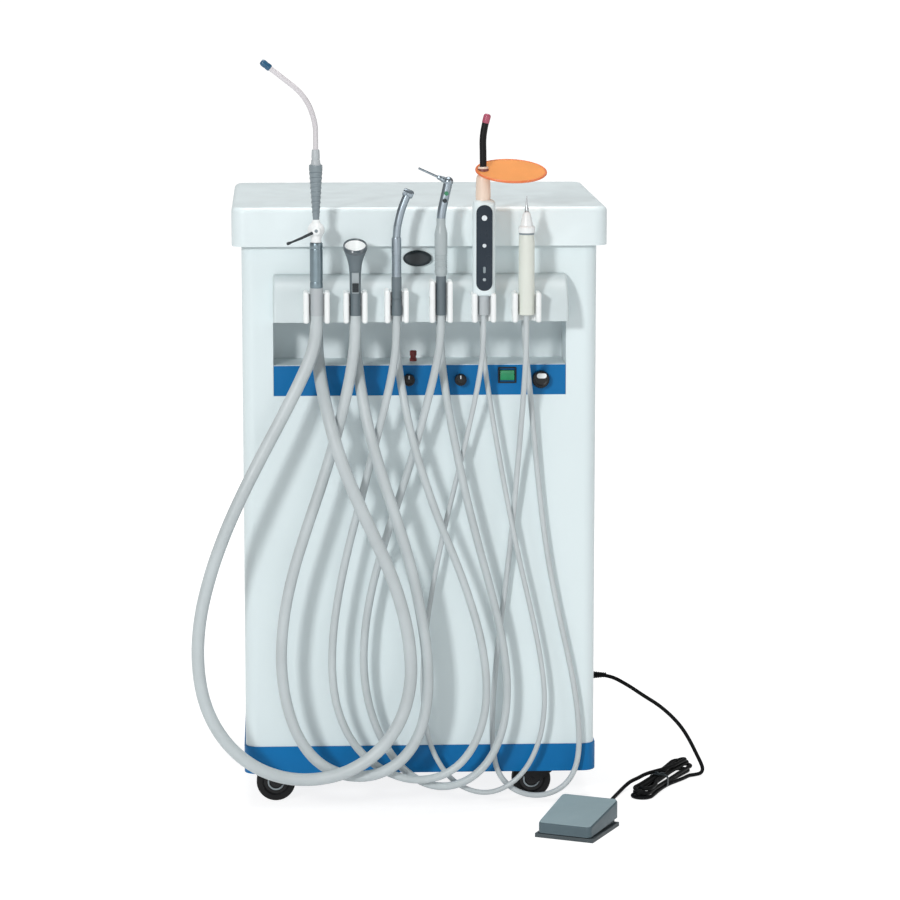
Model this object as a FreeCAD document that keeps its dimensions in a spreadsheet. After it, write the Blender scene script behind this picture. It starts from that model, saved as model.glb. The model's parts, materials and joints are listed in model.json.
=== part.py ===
import FreeCAD, Part
import math
import os
import re

import Sketcher
from FreeCAD import Vector

# Portable dental unit: a cabinet on casters, six instruments on hanging hoses and a foot pedal
# on a cable. Millimetres, +Z up, +X to the right of someone who faces the front, front is -Y.
# The origin is on the floor, under the middle of the cabinet.

SIZES = {
    # cabinet shell, skirt and lid
    "cabinet_width": 446,
    "cabinet_depth": 376,
    "cabinet_low": 80,
    "cabinet_high": 742,
    "cabinet_wall": 2,
    "cabinet_corner": 16,
    "skirt_width": 450,
    "skirt_depth": 380,
    "skirt_low": 44.5,
    "deck_low": 70,
    "deck_high": 76,
    "rim_high": 95,
    "lid_width": 470,
    "lid_depth": 400,
    "lid_low": 721,
    "lid_high": 770,
    "lid_wall": 4,
    "lid_corner": 18,
    "lid_edge": 7,
    "hinge_y": 205,
    "hinge_z": 718,
    "hinge_x": 150,
    "hinge_pin_radius": 2,
    "hinge_barrel_radius": 4,
    # hose bay, control strip and instrument holder
    "window_half": 184,
    "window_low": 532,
    "window_high": 626,
    "strip_high": 570,
    "bay_depth": 70,
    "bay_wall": 2.5,
    "hood_half": 184,
    "hood_high": 686,
    "hood_wall": 3,
    "hood_reach": 45,
    "rail_low": 650,
    "rail_thick": 4,
    "clip_low": 629,
    "clip_high": 664,
    "clip_arm": 8,
    "clip_start": 36,
    "socket_inset": 19,
    "socket_low": 634,
    "instrument_out": 57,
    "tail_low": 640,
    # service opening, louvres and cable entries
    "service_half": 180,
    "service_low": 120,
    "service_high": 680,
    "panel_lap": 8,
    "panel_thick": 2,
    "louvre_low": 430,
    "louvre_length": 90,
    "gland_y": -56,
    "gland_z": 140.5,
    "inlet_x": -120,
    "inlet_z": 160,
    "louvre_pitch": 14,
    # controls
    "knob_z": 552,
    "rocker_x": 110,
    "rocker_z": 557,
    "trunnion_radius": 0.9,
    "scaler_knob_x": 152,
    "air_knob_x": -14,
    "water_knob_x": 51,
    "shaft_radius": 3,
    "running_gap": 0.06,
    "latch_x": -3,
    "latch_z": 705,
    # inside the cabinet
    "shelf_depth": 290,
    "shelf_low": 330,
    "shelf_high": 333,
    "shelf_edge": 20,
    "tank_radius": 52,
    "tank_length": 280,
    "tank_y": -105,
    "motor_radius": 46,
    "motor_length": 100,
    "motor_rise": 74,
    "fan_y": 137,
    "fan_shaft": 5,
    "fan_blade": 32,
    "bottle_radius": 40,
    "bottle_y": 70,
    # casters
    "caster_x": 165,
    "caster_y": 145,
    "caster_trail": 20,
    "wheel_radius": 25,
    "wheel_half": 9,
    "axle_radius": 3,
    "stem_radius": 6,
    "fork_gap": 0.7,
    "cheek_thick": 2,
    # instruments, from left to right
    "tail_radius": 7,
    "ejector_cuff": 8.4,
    "syringe_tail": 6.4,
    "ejector_x": -130,
    "suction_x": -82,
    "handpiece_x": -31,
    "syringe_x": 24,
    "light_x": 77,
    "scaler_x": 130,
    "ejector_valve_z": 746,
    "ejector_collar_z": 845,
    "ejector_tube_radius": 3,
    "suction_top": 735,
    "suction_bore": 5.6,
    "handpiece_radius": 6,
    "handpiece_grip_top": 735,
    "chuck_radius": 4.2,
    "syringe_grip_radius": 8,
    "key_radius": 2.6,
    "light_low": 664,
    "light_high": 783,
    "light_width": 28,
    "light_thick": 24,
    "light_key_radius": 3.4,
    "light_key_z": 761,
    "guide_x": 76,
    "guide_radius": 4.3,
    "guide_low": 806,
    "shield_z": 819,
    "shield_hole_x": -34.5,
    "shield_half_long": 44.5,
    "shield_half_wide": 33,
    "shield_thick": 2.5,
    "scaler_radius": 10,
    "scaler_ring_z": 745,
    # foot pedal
    "pedal_x": 190.4,
    "pedal_y": -323.4,
    "pedal_turn": -26,
    "pedal_width": 77,
    "pedal_front": 70,
    "pedal_back": 76,
    "pedal_length": 92,
    "pedal_low_end": 19,
    "pedal_high_end": 34,
    "pedal_pin_radius": 1.5,
    # cords
    "cable_diameter": 5,
    "hank_height": 22,
}

document = FreeCAD.newDocument("dental_unit")
sheet = document.addObject("Spreadsheet::Sheet", "Sizes")
for row, (alias, value) in enumerate(SIZES.items(), start=1):
    sheet.set(f"A{row}", alias)
    sheet.set(f"B{row}", str(value))
    sheet.setAlias(f"B{row}", alias)
document.recompute()

X_AXIS = Vector(1, 0, 0)
Y_AXIS = Vector(0, 1, 0)
Z_AXIS = Vector(0, 0, 1)
FRONT = Vector(0, -1, 0)
nodes = {}


# ---------------------------------------------------------------- helpers


def formula(text):
    """A formula in which each name of the size table points at its cell."""
    def cell(match):
        word = match.group(0)
        return f"Sizes.{word}" if word in SIZES else word
    return re.sub(r"[a-z][a-z_0-9]*", cell, str(text))


def number(text):
    """The value of a formula of sizes."""
    return float(sheet.evalExpression(formula(text)))


def bind(item, field, value):
    """Sets a size by formula, so that it follows the sheet."""
    item.setExpression(field, formula(value))


def stand(item, foot, direction=Z_AXIS):
    """Stands an object at a foot point given by formulas, its own +Z turned to a direction."""
    item.Placement = FreeCAD.Placement(Vector(), FreeCAD.Rotation(Z_AXIS, direction))
    for letter, value in zip("xyz", foot):
        bind(item, f"Placement.Base.{letter}", value)
    return item


def block(name, size, low):
    """A box from its size and its lowest corner."""
    item = document.addObject("Part::Box", name)
    for field, value in zip(("Length", "Width", "Height"), size):
        bind(item, field, value)
    return stand(item, low)


def centred(name, size, middle_x, middle_y, low_z):
    """A box centred in X and Y on a point."""
    return block(name, size, (f"{middle_x} - ({size[0]}) / 2", f"{middle_y} - ({size[1]}) / 2", low_z))


def rod(name, radius, length, foot, direction=Z_AXIS):
    """A cylinder from its foot along a direction."""
    item = document.addObject("Part::Cylinder", name)
    bind(item, "Radius", radius)
    bind(item, "Height", length)
    return stand(item, foot, direction)


def taper(name, foot_radius, top_radius, length, foot, direction=Z_AXIS):
    """A cone's frustum from its foot along a direction."""
    item = document.addObject("Part::Cone", name)
    bind(item, "Radius1", foot_radius)
    bind(item, "Radius2", top_radius)
    bind(item, "Height", length)
    return stand(item, foot, direction)


def ball(name, radius, centre):
    """A sphere about a centre."""
    item = document.addObject("Part::Sphere", name)
    bind(item, "Radius", radius)
    return stand(item, centre)


def oval(name, half_long, half_wide, height, foot, direction=Z_AXIS):
    """An oval plate, its long axis along X, from the middle of its foot along a direction."""
    curve = document.addObject("Part::Ellipse", f"{name}_curve")
    bind(curve, "MajorRadius", half_long)
    bind(curve, "MinorRadius", half_wide)
    item = document.addObject("Part::Extrusion", name)
    item.Base = stand(curve, foot, direction)
    item.DirMode = "Custom"
    item.Dir = direction
    item.Solid = True
    bind(item, "LengthFwd", height)
    return item


def joined(name, *items):
    """One solid out of several that overlap."""
    item = document.addObject("Part::MultiFuse", name)
    item.Shapes = list(items)
    item.Refine = True
    return item


def carved(name, base, *tools):
    """A base with each tool cut out of it."""
    item = document.addObject("Part::Cut", name)
    item.Base = base
    item.Tool = tools[0] if len(tools) == 1 else joined(f"{name}_cutters", *tools)
    return item


def grouped(name, *items):
    """Several separate solids kept in one node."""
    item = document.addObject("Part::Compound", name)
    item.Links = list(items)
    return item


def keep(name, item):
    """Declares a finished sub-part under the name of its node."""
    item.Label = name
    nodes[name] = item
    return item


def plane_of(body, role):
    """One of a body's own origin planes."""
    return next(p for p in body.Origin.OriginFeatures if p.Role == role)


def outline_sketch(body, name, role, points):
    """A closed outline of straight lines whose corners are held by formulas."""
    sketch = body.newObject("Sketcher::SketchObject", name)
    sketch.AttachmentSupport = [(plane_of(body, role), "")]
    sketch.MapMode = "FlatFace"
    count = len(points)
    rough = [Vector(number(x), number(y), 0) for x, y in points]
    for i in range(count):
        sketch.addGeometry(Part.LineSegment(rough[i], rough[(i + 1) % count]), False)
    for i in range(count):
        sketch.addConstraint(Sketcher.Constraint("Coincident", i, 2, (i + 1) % count, 1))
    for i, corner in enumerate(points):
        across = ("DistanceX", corner[0], rough[i].x)
        along = ("DistanceY", corner[1], rough[i].y)
        for kind, value, spot in (across, along):
            if abs(spot) < 1e-9:
                axis_line = -2 if kind == "DistanceX" else -1
                sketch.addConstraint(Sketcher.Constraint("PointOnObject", i, 1, axis_line))
                continue
            ends = (-1, 1, i, 1) if spot > 0 else (i, 1, -1, 1)
            index = sketch.addConstraint(Sketcher.Constraint(kind, *ends, abs(spot)))
            bind(sketch, f"Constraints[{index}]", value if spot > 0 else f"-1 * ({value})")
    return sketch


def turned(name, profile, foot, direction=Z_AXIS):
    """A turned piece: its half profile as (radius, height) is spun about its own Z axis."""
    body = document.addObject("PartDesign::Body", name)
    sketch = outline_sketch(body, f"{name}_profile", "XZ_Plane", profile)
    spin = body.newObject("PartDesign::Revolution", f"{name}_spin")
    spin.Profile = sketch
    spin.ReferenceAxis = (sketch, ["V_Axis"])
    spin.Angle = 360
    body.Tip = spin
    return stand(body, foot, direction)


def plate(name, outline, height, foot=("0", "0", "0"), role="XY_Plane", midplane=False):
    """A padded outline. On XZ_Plane it is drawn as (x, z), and on YZ_Plane as (y, z)."""
    body = document.addObject("PartDesign::Body", name)
    sketch = outline_sketch(body, f"{name}_outline", role, outline)
    pad = body.newObject("PartDesign::Pad", f"{name}_pad")
    pad.Profile = sketch
    bind(pad, "Length", height)
    pad.SideType = "Symmetric" if midplane else "One side"
    body.Tip = pad
    return stand(body, foot)


def soften(body, radius, wanted):
    """Rounds those edges of a body that the test picks, in one fillet."""
    document.recompute()
    tip = body.Tip
    edges = [f"Edge{i}" for i, edge in enumerate(tip.Shape.Edges, start=1) if wanted(edge)]
    round_off = body.newObject("PartDesign::Fillet", f"{body.Name}_round_{len(body.Group)}")
    round_off.Base = (tip, edges)
    bind(round_off, "Radius", radius)
    body.Tip = round_off
    return body


def upright(edge):
    """Whether a straight edge stands along Z."""
    return len(edge.Vertexes) == 2 and edge.tangentAt(edge.FirstParameter).cross(Z_AXIS).Length < 1e-6


def shell_block(name, width, depth, low, high, corner):
    """An upright block about the Z axis with rounded upright edges."""
    right, back = f"0.5 * ({width})", f"0.5 * ({depth})"
    left, front = f"-{right}", f"-{back}"
    corners = [(left, front), (right, front), (right, back), (left, back)]
    body = plate(name, corners, f"{high} - ({low})", ("0", "0", low))
    return soften(body, corner, upright)


# ---------------------------------------------------------------- cabinet

CASTERS = [
    # name, middle of the stem
    ("front_left", "-caster_x", "-caster_y"),
    ("front_right", "caster_x", "-caster_y"),
    ("rear_left", "-caster_x", "caster_y"),
    ("rear_right", "caster_x", "caster_y"),
]

def cabinet_shell():
    """The painted steel box, open at the top and the bottom, with the bay's window in front."""
    outer = shell_block(
        "shell_outer", "cabinet_width", "cabinet_depth", "cabinet_low", "cabinet_high", "cabinet_corner"
    )
    inner = shell_block(
        "shell_inner",
        "cabinet_width - 2 * cabinet_wall",
        "cabinet_depth - 2 * cabinet_wall",
        "cabinet_low - 1",
        "cabinet_high + 1",
        "cabinet_corner - cabinet_wall",
    )
    window = block(
        "shell_window",
        ("2 * window_half", "10", "window_high - window_low"),
        ("-window_half", "-cabinet_depth / 2 - 5", "window_low"),
    )
    service_door = block(
        "shell_service_opening",
        ("2 * service_half", "10", "service_high - service_low"),
        ("-service_half", "cabinet_depth / 2 - 5", "service_low"),
    )
    gland_hole = rod("shell_gland_hole", "4.1", "12", ("cabinet_width / 2 - 8", "gland_y", "gland_z"), X_AXIS)
    latch_hole = rod(
        "shell_latch_hole",
        "shaft_radius + running_gap",
        "12",
        ("latch_x", "-cabinet_depth / 2 + 8", "latch_z"),
        FRONT,
    )
    keep("cabinet_shell", carved("shell", outer, inner, window, service_door, gland_hole, latch_hole))


def rear_panel():
    """The screwed service panel on the back, with louvre slots and the mains inlet's cut-out."""
    back = "cabinet_depth / 2"
    sheet_metal = block(
        "panel_sheet",
        ("2 * (service_half + panel_lap)", "panel_thick", "service_high - service_low + 2 * panel_lap"),
        ("-service_half - panel_lap", back, "service_low - panel_lap"),
    )
    inlet_low = ("inlet_x - 14.2", f"{back} - 4", "inlet_z - 10.2")
    cutters = [block("panel_inlet_cut", ("28.4", "10", "20.4"), inlet_low)]
    for side, middle in (("left", "-85"), ("right", "85")):
        for step in range(6):
            low = (f"{middle} - louvre_length / 2", f"{back} - 4", f"louvre_low + {step} * louvre_pitch")
            cutters.append(block(f"panel_louvre_{side}_{step}", ("louvre_length", "10", "6"), low))
    keep("rear_panel", carved("panel", sheet_metal, *cutters))


def base_tray():
    """The blue skirt and floor plate: it carries the shell, the compressor and the casters."""
    skirt = shell_block(
        "tray_skirt", "skirt_width", "skirt_depth", "skirt_low", "cabinet_low", "cabinet_corner + 1"
    )
    rim = shell_block(
        "tray_rim",
        "cabinet_width - 2 * cabinet_wall - 0.4",
        "cabinet_depth - 2 * cabinet_wall - 0.4",
        "cabinet_low - 2",
        "rim_high",
        "cabinet_corner - cabinet_wall",
    )
    under = shell_block(
        "tray_under", "skirt_width - 8", "skirt_depth - 8", "skirt_low - 1", "deck_low", "13"
    )
    over = shell_block(
        "tray_over", "cabinet_width - 13", "cabinet_depth - 13", "deck_high", "rim_high + 1", "10"
    )
    solid = joined("tray_skirt_and_rim", skirt, rim)
    open_box = carved("tray_open", solid, under, over)
    bosses = []
    bores = []
    for name, x, y in CASTERS:
        bosses.append(rod(f"tray_boss_{name}", "15", "deck_low - 62.3 + 1", (x, y, "62.3")))
        bores.append(rod(f"tray_bore_{name}", "stem_radius + running_gap", "40", (x, y, "50")))
    keep("base_tray", carved("tray", joined("tray_with_bosses", open_box, *bosses), *bores))


def hose_bay():
    """The white liner of the recess that the hoses are pushed back into."""
    outer = block(
        "bay_outer",
        ("2 * window_half + 2 * bay_wall", "bay_depth + bay_wall", "window_high - window_low + 2 * bay_wall"),
        ("-window_half - bay_wall", "-cabinet_depth / 2 + cabinet_wall", "window_low - bay_wall"),
    )
    flange = block(
        "bay_flange",
        ("2 * window_half + 20", "2", "window_high - window_low + 18"),
        ("-window_half - 10", "-cabinet_depth / 2 + cabinet_wall", "window_low - 9"),
    )
    hollow = block(
        "bay_hollow",
        ("2 * window_half", "bay_depth + 5", "window_high - window_low"),
        ("-window_half", "-cabinet_depth / 2 + cabinet_wall - 5", "window_low"),
    )
    keep("hose_bay", carved("bay", joined("bay_outer_and_flange", outer, flange), hollow))


ROCKER_Y = "-cabinet_depth / 2 + 1.5"


def control_panel():
    """The blue control strip: its front is flush with the cabinet and its top is the bay's floor."""
    profile = [
        ("-cabinet_depth / 2", "window_low"),
        ("-cabinet_depth / 2 + 3", "window_low"),
        ("-cabinet_depth / 2 + 3", "strip_high - 3"),
        ("-cabinet_depth / 2 + cabinet_wall + bay_depth", "strip_high - 3"),
        ("-cabinet_depth / 2 + cabinet_wall + bay_depth", "strip_high"),
        ("-cabinet_depth / 2", "strip_high"),
    ]
    strip = plate("strip_angle", profile, "2 * window_half - 0.6", role="YZ_Plane", midplane=True)
    shafts = (("air", "air_knob_x"), ("water", "water_knob_x"), ("scaler", "scaler_knob_x"))
    behind = "-cabinet_depth / 2 + 5"
    cutters = [
        rod(f"strip_bore_{name}", "shaft_radius + running_gap", "10", (x, behind, "knob_z"), FRONT)
        for name, x in shafts
    ]
    low = ("rocker_x - 9.5", "-cabinet_depth / 2 - 5", "rocker_z - 7")
    cutters.append(block("strip_rocker_cut", ("19", "10", "14"), low))
    pivot = ("rocker_x - 10.7", ROCKER_Y, "rocker_z")
    cutters.append(rod("strip_rocker_bore", "trunnion_radius + running_gap", "21.4", pivot, X_AXIS))
    keep("control_panel", carved("strip", strip, *cutters))


def knob(node, x, radius, depth):
    """A turned control knob on a shaft through the control strip."""
    face = f"{depth} + 3.5"
    profile = [
        ("0", "0"),
        ("shaft_radius", "0"),
        ("shaft_radius", "4"),
        (radius, "4"),
        (f"{radius} - 0.6", face),
        (f"{radius} - 1.6", f"{face} + 1"),
        ("0", f"{face} + 1"),
    ]
    keep(node, turned(node, profile, (x, "-cabinet_depth / 2 + 3.5", "knob_z"), FRONT))


def power_rocker():
    """The lit rocker of the mains switch. It tilts on trunnions inside the strip's thickness."""
    profile = [
        ("-5.4", "-6"),
        ("3", "-5"),
        ("3", "5"),
        ("-3.4", "6"),
        ("-4", "0"),
    ]
    centre = ("rocker_x", ROCKER_Y, "rocker_z")
    cap = plate("rocker_cap", profile, "17.6", centre, "YZ_Plane", True)
    trunnions = rod("rocker_trunnions", "trunnion_radius", "20.6", ("rocker_x - 10.3", *centre[1:]), X_AXIS)
    keep("power_rocker", joined("rocker", cap, trunnions))


def lid_latch():
    """The dark oval thumb-turn under the lid, with its shaft through the front wall."""
    cap = oval("latch_cap", "18", "10", "6", ("latch_x", "-cabinet_depth / 2 - 1.4", "latch_z"), FRONT)
    rounded = document.addObject("Part::Fillet", "latch_rounded_cap")
    rounded.Base = cap
    document.recompute()
    face = min(edge.CenterOfMass.y for edge in cap.Shape.Edges)
    rounded.Edges = [
        (i, 4, 4) for i, edge in enumerate(cap.Shape.Edges, start=1) if abs(edge.CenterOfMass.y - face) < 1e-3
    ]
    collar = rod("latch_collar", "6", "3", ("latch_x", "-cabinet_depth / 2 - 0.4", "latch_z"), FRONT)
    shaft = rod("latch_shaft", "shaft_radius", "8", ("latch_x", "-cabinet_depth / 2 + 7", "latch_z"), FRONT)
    cam = block("latch_cam", ("22", "2", "9"), ("latch_x - 4", "-cabinet_depth / 2 + 5", "latch_z - 4.5"))
    keep("lid_latch", joined("latch", rounded, collar, shaft, cam))


def hinge_piece(name, low, length, base):
    """One barrel of a lid hinge with what ties it to its leaf."""
    barrel = rod(f"{name}_barrel", "hinge_barrel_radius", length, (low, "hinge_y", "hinge_z"), X_AXIS)
    return joined(name, barrel, base)


def top_cover():
    """The moulded lid: a shallow cap with an inner rim that lands on the shell, and hinge leaves."""
    outer = shell_block("lid_outer", "lid_width", "lid_depth", "lid_low", "lid_high", "lid_corner")
    top = number("lid_high - lid_low")
    soften(outer, "lid_edge", lambda edge: all(abs(v.Z - top) < 1e-6 for v in edge.Vertexes))
    cavity = shell_block(
        "lid_cavity",
        "lid_width - 2 * lid_wall",
        "lid_depth - 2 * lid_wall",
        "lid_low - 1",
        "lid_high - lid_wall",
        "lid_corner - lid_wall",
    )
    cap = carved("lid_cap", outer, cavity)
    rim_outer = shell_block(
        "lid_rim_outer", "cabinet_width + 6", "cabinet_depth + 6", "cabinet_high + 0.3", "lid_high - 3", "16"
    )
    rim_inner = shell_block(
        "lid_rim_inner",
        "cabinet_width - 10",
        "cabinet_depth - 10",
        "cabinet_high - 1",
        "lid_high - 2.9",
        "cabinet_corner - 4",
    )
    pieces = [cap, carved("lid_rim", rim_outer, rim_inner)]
    bores = []
    for name, x in (("left", "-hinge_x"), ("right", "hinge_x")):
        back = "lid_depth / 2"
        leaf = block(f"lid_leaf_{name}", ("36", "2.5", "22"), (f"{x} - 18", f"{back} - 0.5", "hinge_z + 5"))
        neck = block(f"lid_neck_{name}", ("16", "2", "6"), (f"{x} - 8", back, "hinge_z"))
        knuckle = hinge_piece(f"lid_knuckle_{name}", f"{x} - 8", "16", neck)
        pieces += [leaf, knuckle]
        start = (f"{x} - 15", "hinge_y", "hinge_z")
        bores.append(rod(f"lid_bore_{name}", "hinge_pin_radius + running_gap", "30", start, X_AXIS))
    keep("top_cover", carved("lid", joined("lid_whole", *pieces), *bores))


def lid_hinges():
    """The fixed leaves on the back of the shell, each with two barrels and its pin."""
    hinges = []
    for name, x in (("left", "-hinge_x"), ("right", "hinge_x")):
        back = "cabinet_depth / 2"
        left = f"{x} - 18"
        leaf = block(f"hinge_leaf_{name}", ("36", "2", "24"), (left, back, "hinge_z - 26"))
        pin = rod(f"hinge_pin_{name}", "hinge_pin_radius", "36", (left, "hinge_y", "hinge_z"), X_AXIS)
        parts = [leaf, pin]
        for side, low in (("a", left), ("b", f"{x} + 8.3")):
            size = ("9.7", f"hinge_y - {back}", "5")
            arm = block(f"hinge_arm_{name}_{side}", size, (low, back, "hinge_z - 6"))
            parts.append(hinge_piece(f"hinge_knuckle_{name}_{side}", low, "9.7", arm))
        hinges.append(joined(f"hinge_{name}", *parts))
    keep("lid_hinges", grouped("hinges", *hinges))


# ---------------------------------------------------------------- instrument holder

INSTRUMENTS = [
    # name, middle, clip slot radius, socket inlet radius
    ("ejector", "ejector_x", "ejector_cuff", 8),
    ("suction", "suction_x", "tail_radius", 7),
    ("handpiece", "handpiece_x", "tail_radius", 5),
    ("syringe", "syringe_x", "syringe_tail", 5),
    ("light", "light_x", "tail_radius", 3.25),
    ("scaler", "scaler_x", "scaler_radius", 3.5),
]
INSTRUMENT_Y = "-(cabinet_depth / 2 + instrument_out)"
SOCKET_Y = "-(cabinet_depth / 2 + socket_inset)"


def instrument_holder():
    """The hood under the lid: a curved shell, open below, with a fork-shaped clip for each tool."""
    face = "-cabinet_depth / 2"
    outside = [
        (face, "window_high"),
        (face, "hood_high"),
        (f"{face} - 11", "hood_high - 2"),
        (f"{face} - 24", "hood_high - 10"),
        (f"{face} - 35", "hood_high - 25"),
        (f"{face} - 42", "hood_high - 45"),
        (f"{face} - hood_reach", "window_high"),
    ]
    inside = [
        (f"{face} - hood_wall", "window_high - 1"),
        (f"{face} - hood_wall", "hood_high - 6"),
        (f"{face} - 10", "hood_high - 7.4"),
        (f"{face} - 22", "hood_high - 13"),
        (f"{face} - 31.5", "hood_high - 27"),
        (f"{face} - 38.8", "hood_high - 46"),
        (f"{face} - hood_reach + 3.2", "window_high - 1"),
    ]
    hood = plate("hood_outside", outside, "2 * hood_half", role="YZ_Plane", midplane=True)
    hollow = plate("hood_inside", inside, "2 * hood_half - 2 * hood_wall", role="YZ_Plane", midplane=True)
    shell = carved("hood_shell", hood, hollow)
    rail = block(
        "hood_rail",
        ("2 * hood_half - 2 * hood_wall + 2", "35", "rail_thick"),
        ("-hood_half + hood_wall - 1", f"{face} - hood_wall - 34", "rail_low"),
    )
    solids = [shell, rail]
    cutters = []
    for name, x, slot, inlet in INSTRUMENTS:
        size = (f"2 * ({slot}) + 2 * clip_arm", "instrument_out + 12 - clip_start", "clip_high - clip_low")
        low = (f"{x} - ({slot}) - clip_arm", f"{INSTRUMENT_Y} - 12", "clip_low")
        solids.append(block(f"clip_{name}", size, low))
        below = "clip_low - 20"
        cutters.append(rod(f"clip_slot_{name}", slot, "80", (x, INSTRUMENT_Y, below)))
        mouth = (f"2 * ({slot}) - 1", "30", "80")
        cutters.append(centred(f"clip_mouth_{name}", mouth, x, f"{INSTRUMENT_Y} - 15", below))
        cutters.append(rod(f"rail_hole_{name}", "5.2", "20", (x, SOCKET_Y, "rail_low - 8")))
    keep("instrument_holder", carved("holder", joined("holder_solid", *solids), *cutters))


def hose_sockets():
    """The hose nuts under the rail, each with its threaded spigot through the rail."""
    sockets = []
    for name, x, slot, inlet in INSTRUMENTS:
        profile = [
            ("0", "socket_low"),
            (f"{inlet} + 2", "socket_low"),
            (f"{inlet} + 2.5", "socket_low + 2"),
            (f"{inlet} + 2.5", "rail_low"),
            ("5", "rail_low"),
            ("5", "rail_low + rail_thick + 3"),
            ("0", "rail_low + rail_thick + 3"),
        ]
        sockets.append(turned(f"socket_{name}", profile, (x, SOCKET_Y, "0")))
    keep("hose_sockets", grouped("sockets", *sockets))


# ---------------------------------------------------------------- casters


def casters():
    """Four swivel casters on threaded stems: a fork with its riveted axle, and a wheel."""
    for name, x, y in CASTERS:
        race = rod(f"race_{name}", "15.5", "9", (x, y, "53"))
        stem = rod(f"stem_{name}", "stem_radius", "24", (x, y, "60"))
        bridge = centred(
            f"bridge_{name}",
            ("caster_trail + 29", "2 * wheel_half + 2 * fork_gap + 2 * cheek_thick", "2.5"),
            f"{x} - caster_trail / 2 + 0.5",
            y,
            "wheel_radius * 2 + 1.5",
        )
        axle = rod(
            f"axle_{name}",
            "axle_radius",
            "2 * wheel_half + 2 * fork_gap + 2 * cheek_thick + 3",
            (f"{x} - caster_trail", f"{y} + wheel_half + fork_gap + cheek_thick + 1.5", "wheel_radius"),
            FRONT,
        )
        parts = [race, stem, bridge, axle]
        outline = [
            ("-caster_trail - 14", "wheel_radius * 2 + 4"),
            ("-caster_trail - 14", "wheel_radius * 2 - 8"),
            ("-caster_trail - 6", "wheel_radius - 5"),
            ("-caster_trail + 6", "wheel_radius - 5"),
            ("14", "wheel_radius * 2 - 8"),
            ("14", "wheel_radius * 2 + 4"),
        ]
        for side, sign in (("front", "-"), ("back", "+")):
            middle = f"{y} {sign} (wheel_half + fork_gap + cheek_thick / 2)"
            cheek = plate(f"cheek_{name}_{side}", outline, "cheek_thick", (x, middle, "0"), "XZ_Plane", True)
            parts.append(cheek)
        keep(f"caster_fork_{name}", joined(f"fork_{name}", *parts))
        tread = [
            ("axle_radius + running_gap", "-wheel_half"),
            ("10", "-wheel_half"),
            ("11", "-wheel_half + 1.5"),
            ("17", "-wheel_half + 1.5"),
            ("18", "-wheel_half"),
            ("wheel_radius - 2.5", "-wheel_half"),
            ("wheel_radius", "-wheel_half + 3"),
            ("wheel_radius", "wheel_half - 3"),
            ("wheel_radius - 2.5", "wheel_half"),
            ("18", "wheel_half"),
            ("17", "wheel_half - 1.5"),
            ("11", "wheel_half - 1.5"),
            ("10", "wheel_half"),
            ("axle_radius + running_gap", "wheel_half"),
        ]
        wheel = turned(f"wheel_{name}", tread, (f"{x} - caster_trail", y, "wheel_radius"), FRONT)
        keep(f"caster_wheel_{name}", wheel)


# ---------------------------------------------------------------- inside the cabinet


def equipment_deck():
    """The shelf across the middle of the cabinet, with its edges turned down to the side walls."""
    width = "cabinet_width - 2 * cabinet_wall"
    low_y = "cabinet_depth / 2 - cabinet_corner - shelf_depth"
    left, right = f"-({width}) / 2", f"({width}) / 2 - 3"
    top = block("deck_sheet", (width, "shelf_depth", "shelf_high - shelf_low"), (left, low_y, "shelf_low"))
    edge = ("3", "shelf_depth", "shelf_edge")
    edge_low = "shelf_low - shelf_edge + 2"
    edges = [
        block(f"deck_edge_{side}", edge, (low_x, low_y, edge_low))
        for side, low_x in (("left", left), ("right", right))
    ]
    keep("equipment_deck", joined("deck", top, *edges))


def air_tank():
    """The compressed-air tank: a welded cylinder with domed ends on two saddles."""
    profile = [
        ("0", "0"),
        ("tank_radius - 27", "3"),
        ("tank_radius - 10", "11"),
        ("tank_radius", "25"),
        ("tank_radius", "tank_length - 25"),
        ("tank_radius - 10", "tank_length - 11"),
        ("tank_radius - 27", "tank_length - 3"),
        ("0", "tank_length"),
    ]
    start = ("-tank_length / 2", "tank_y", "deck_high + tank_radius + 10")
    drum = turned("tank_drum", profile, start, X_AXIS)
    feet = [
        centred(f"tank_foot_{side}", ("20", "80", "30"), x, "tank_y", "deck_high")
        for side, x in (("left", "-90"), ("right", "90"))
    ]
    keep("air_tank", joined("tank", drum, *feet))


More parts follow.
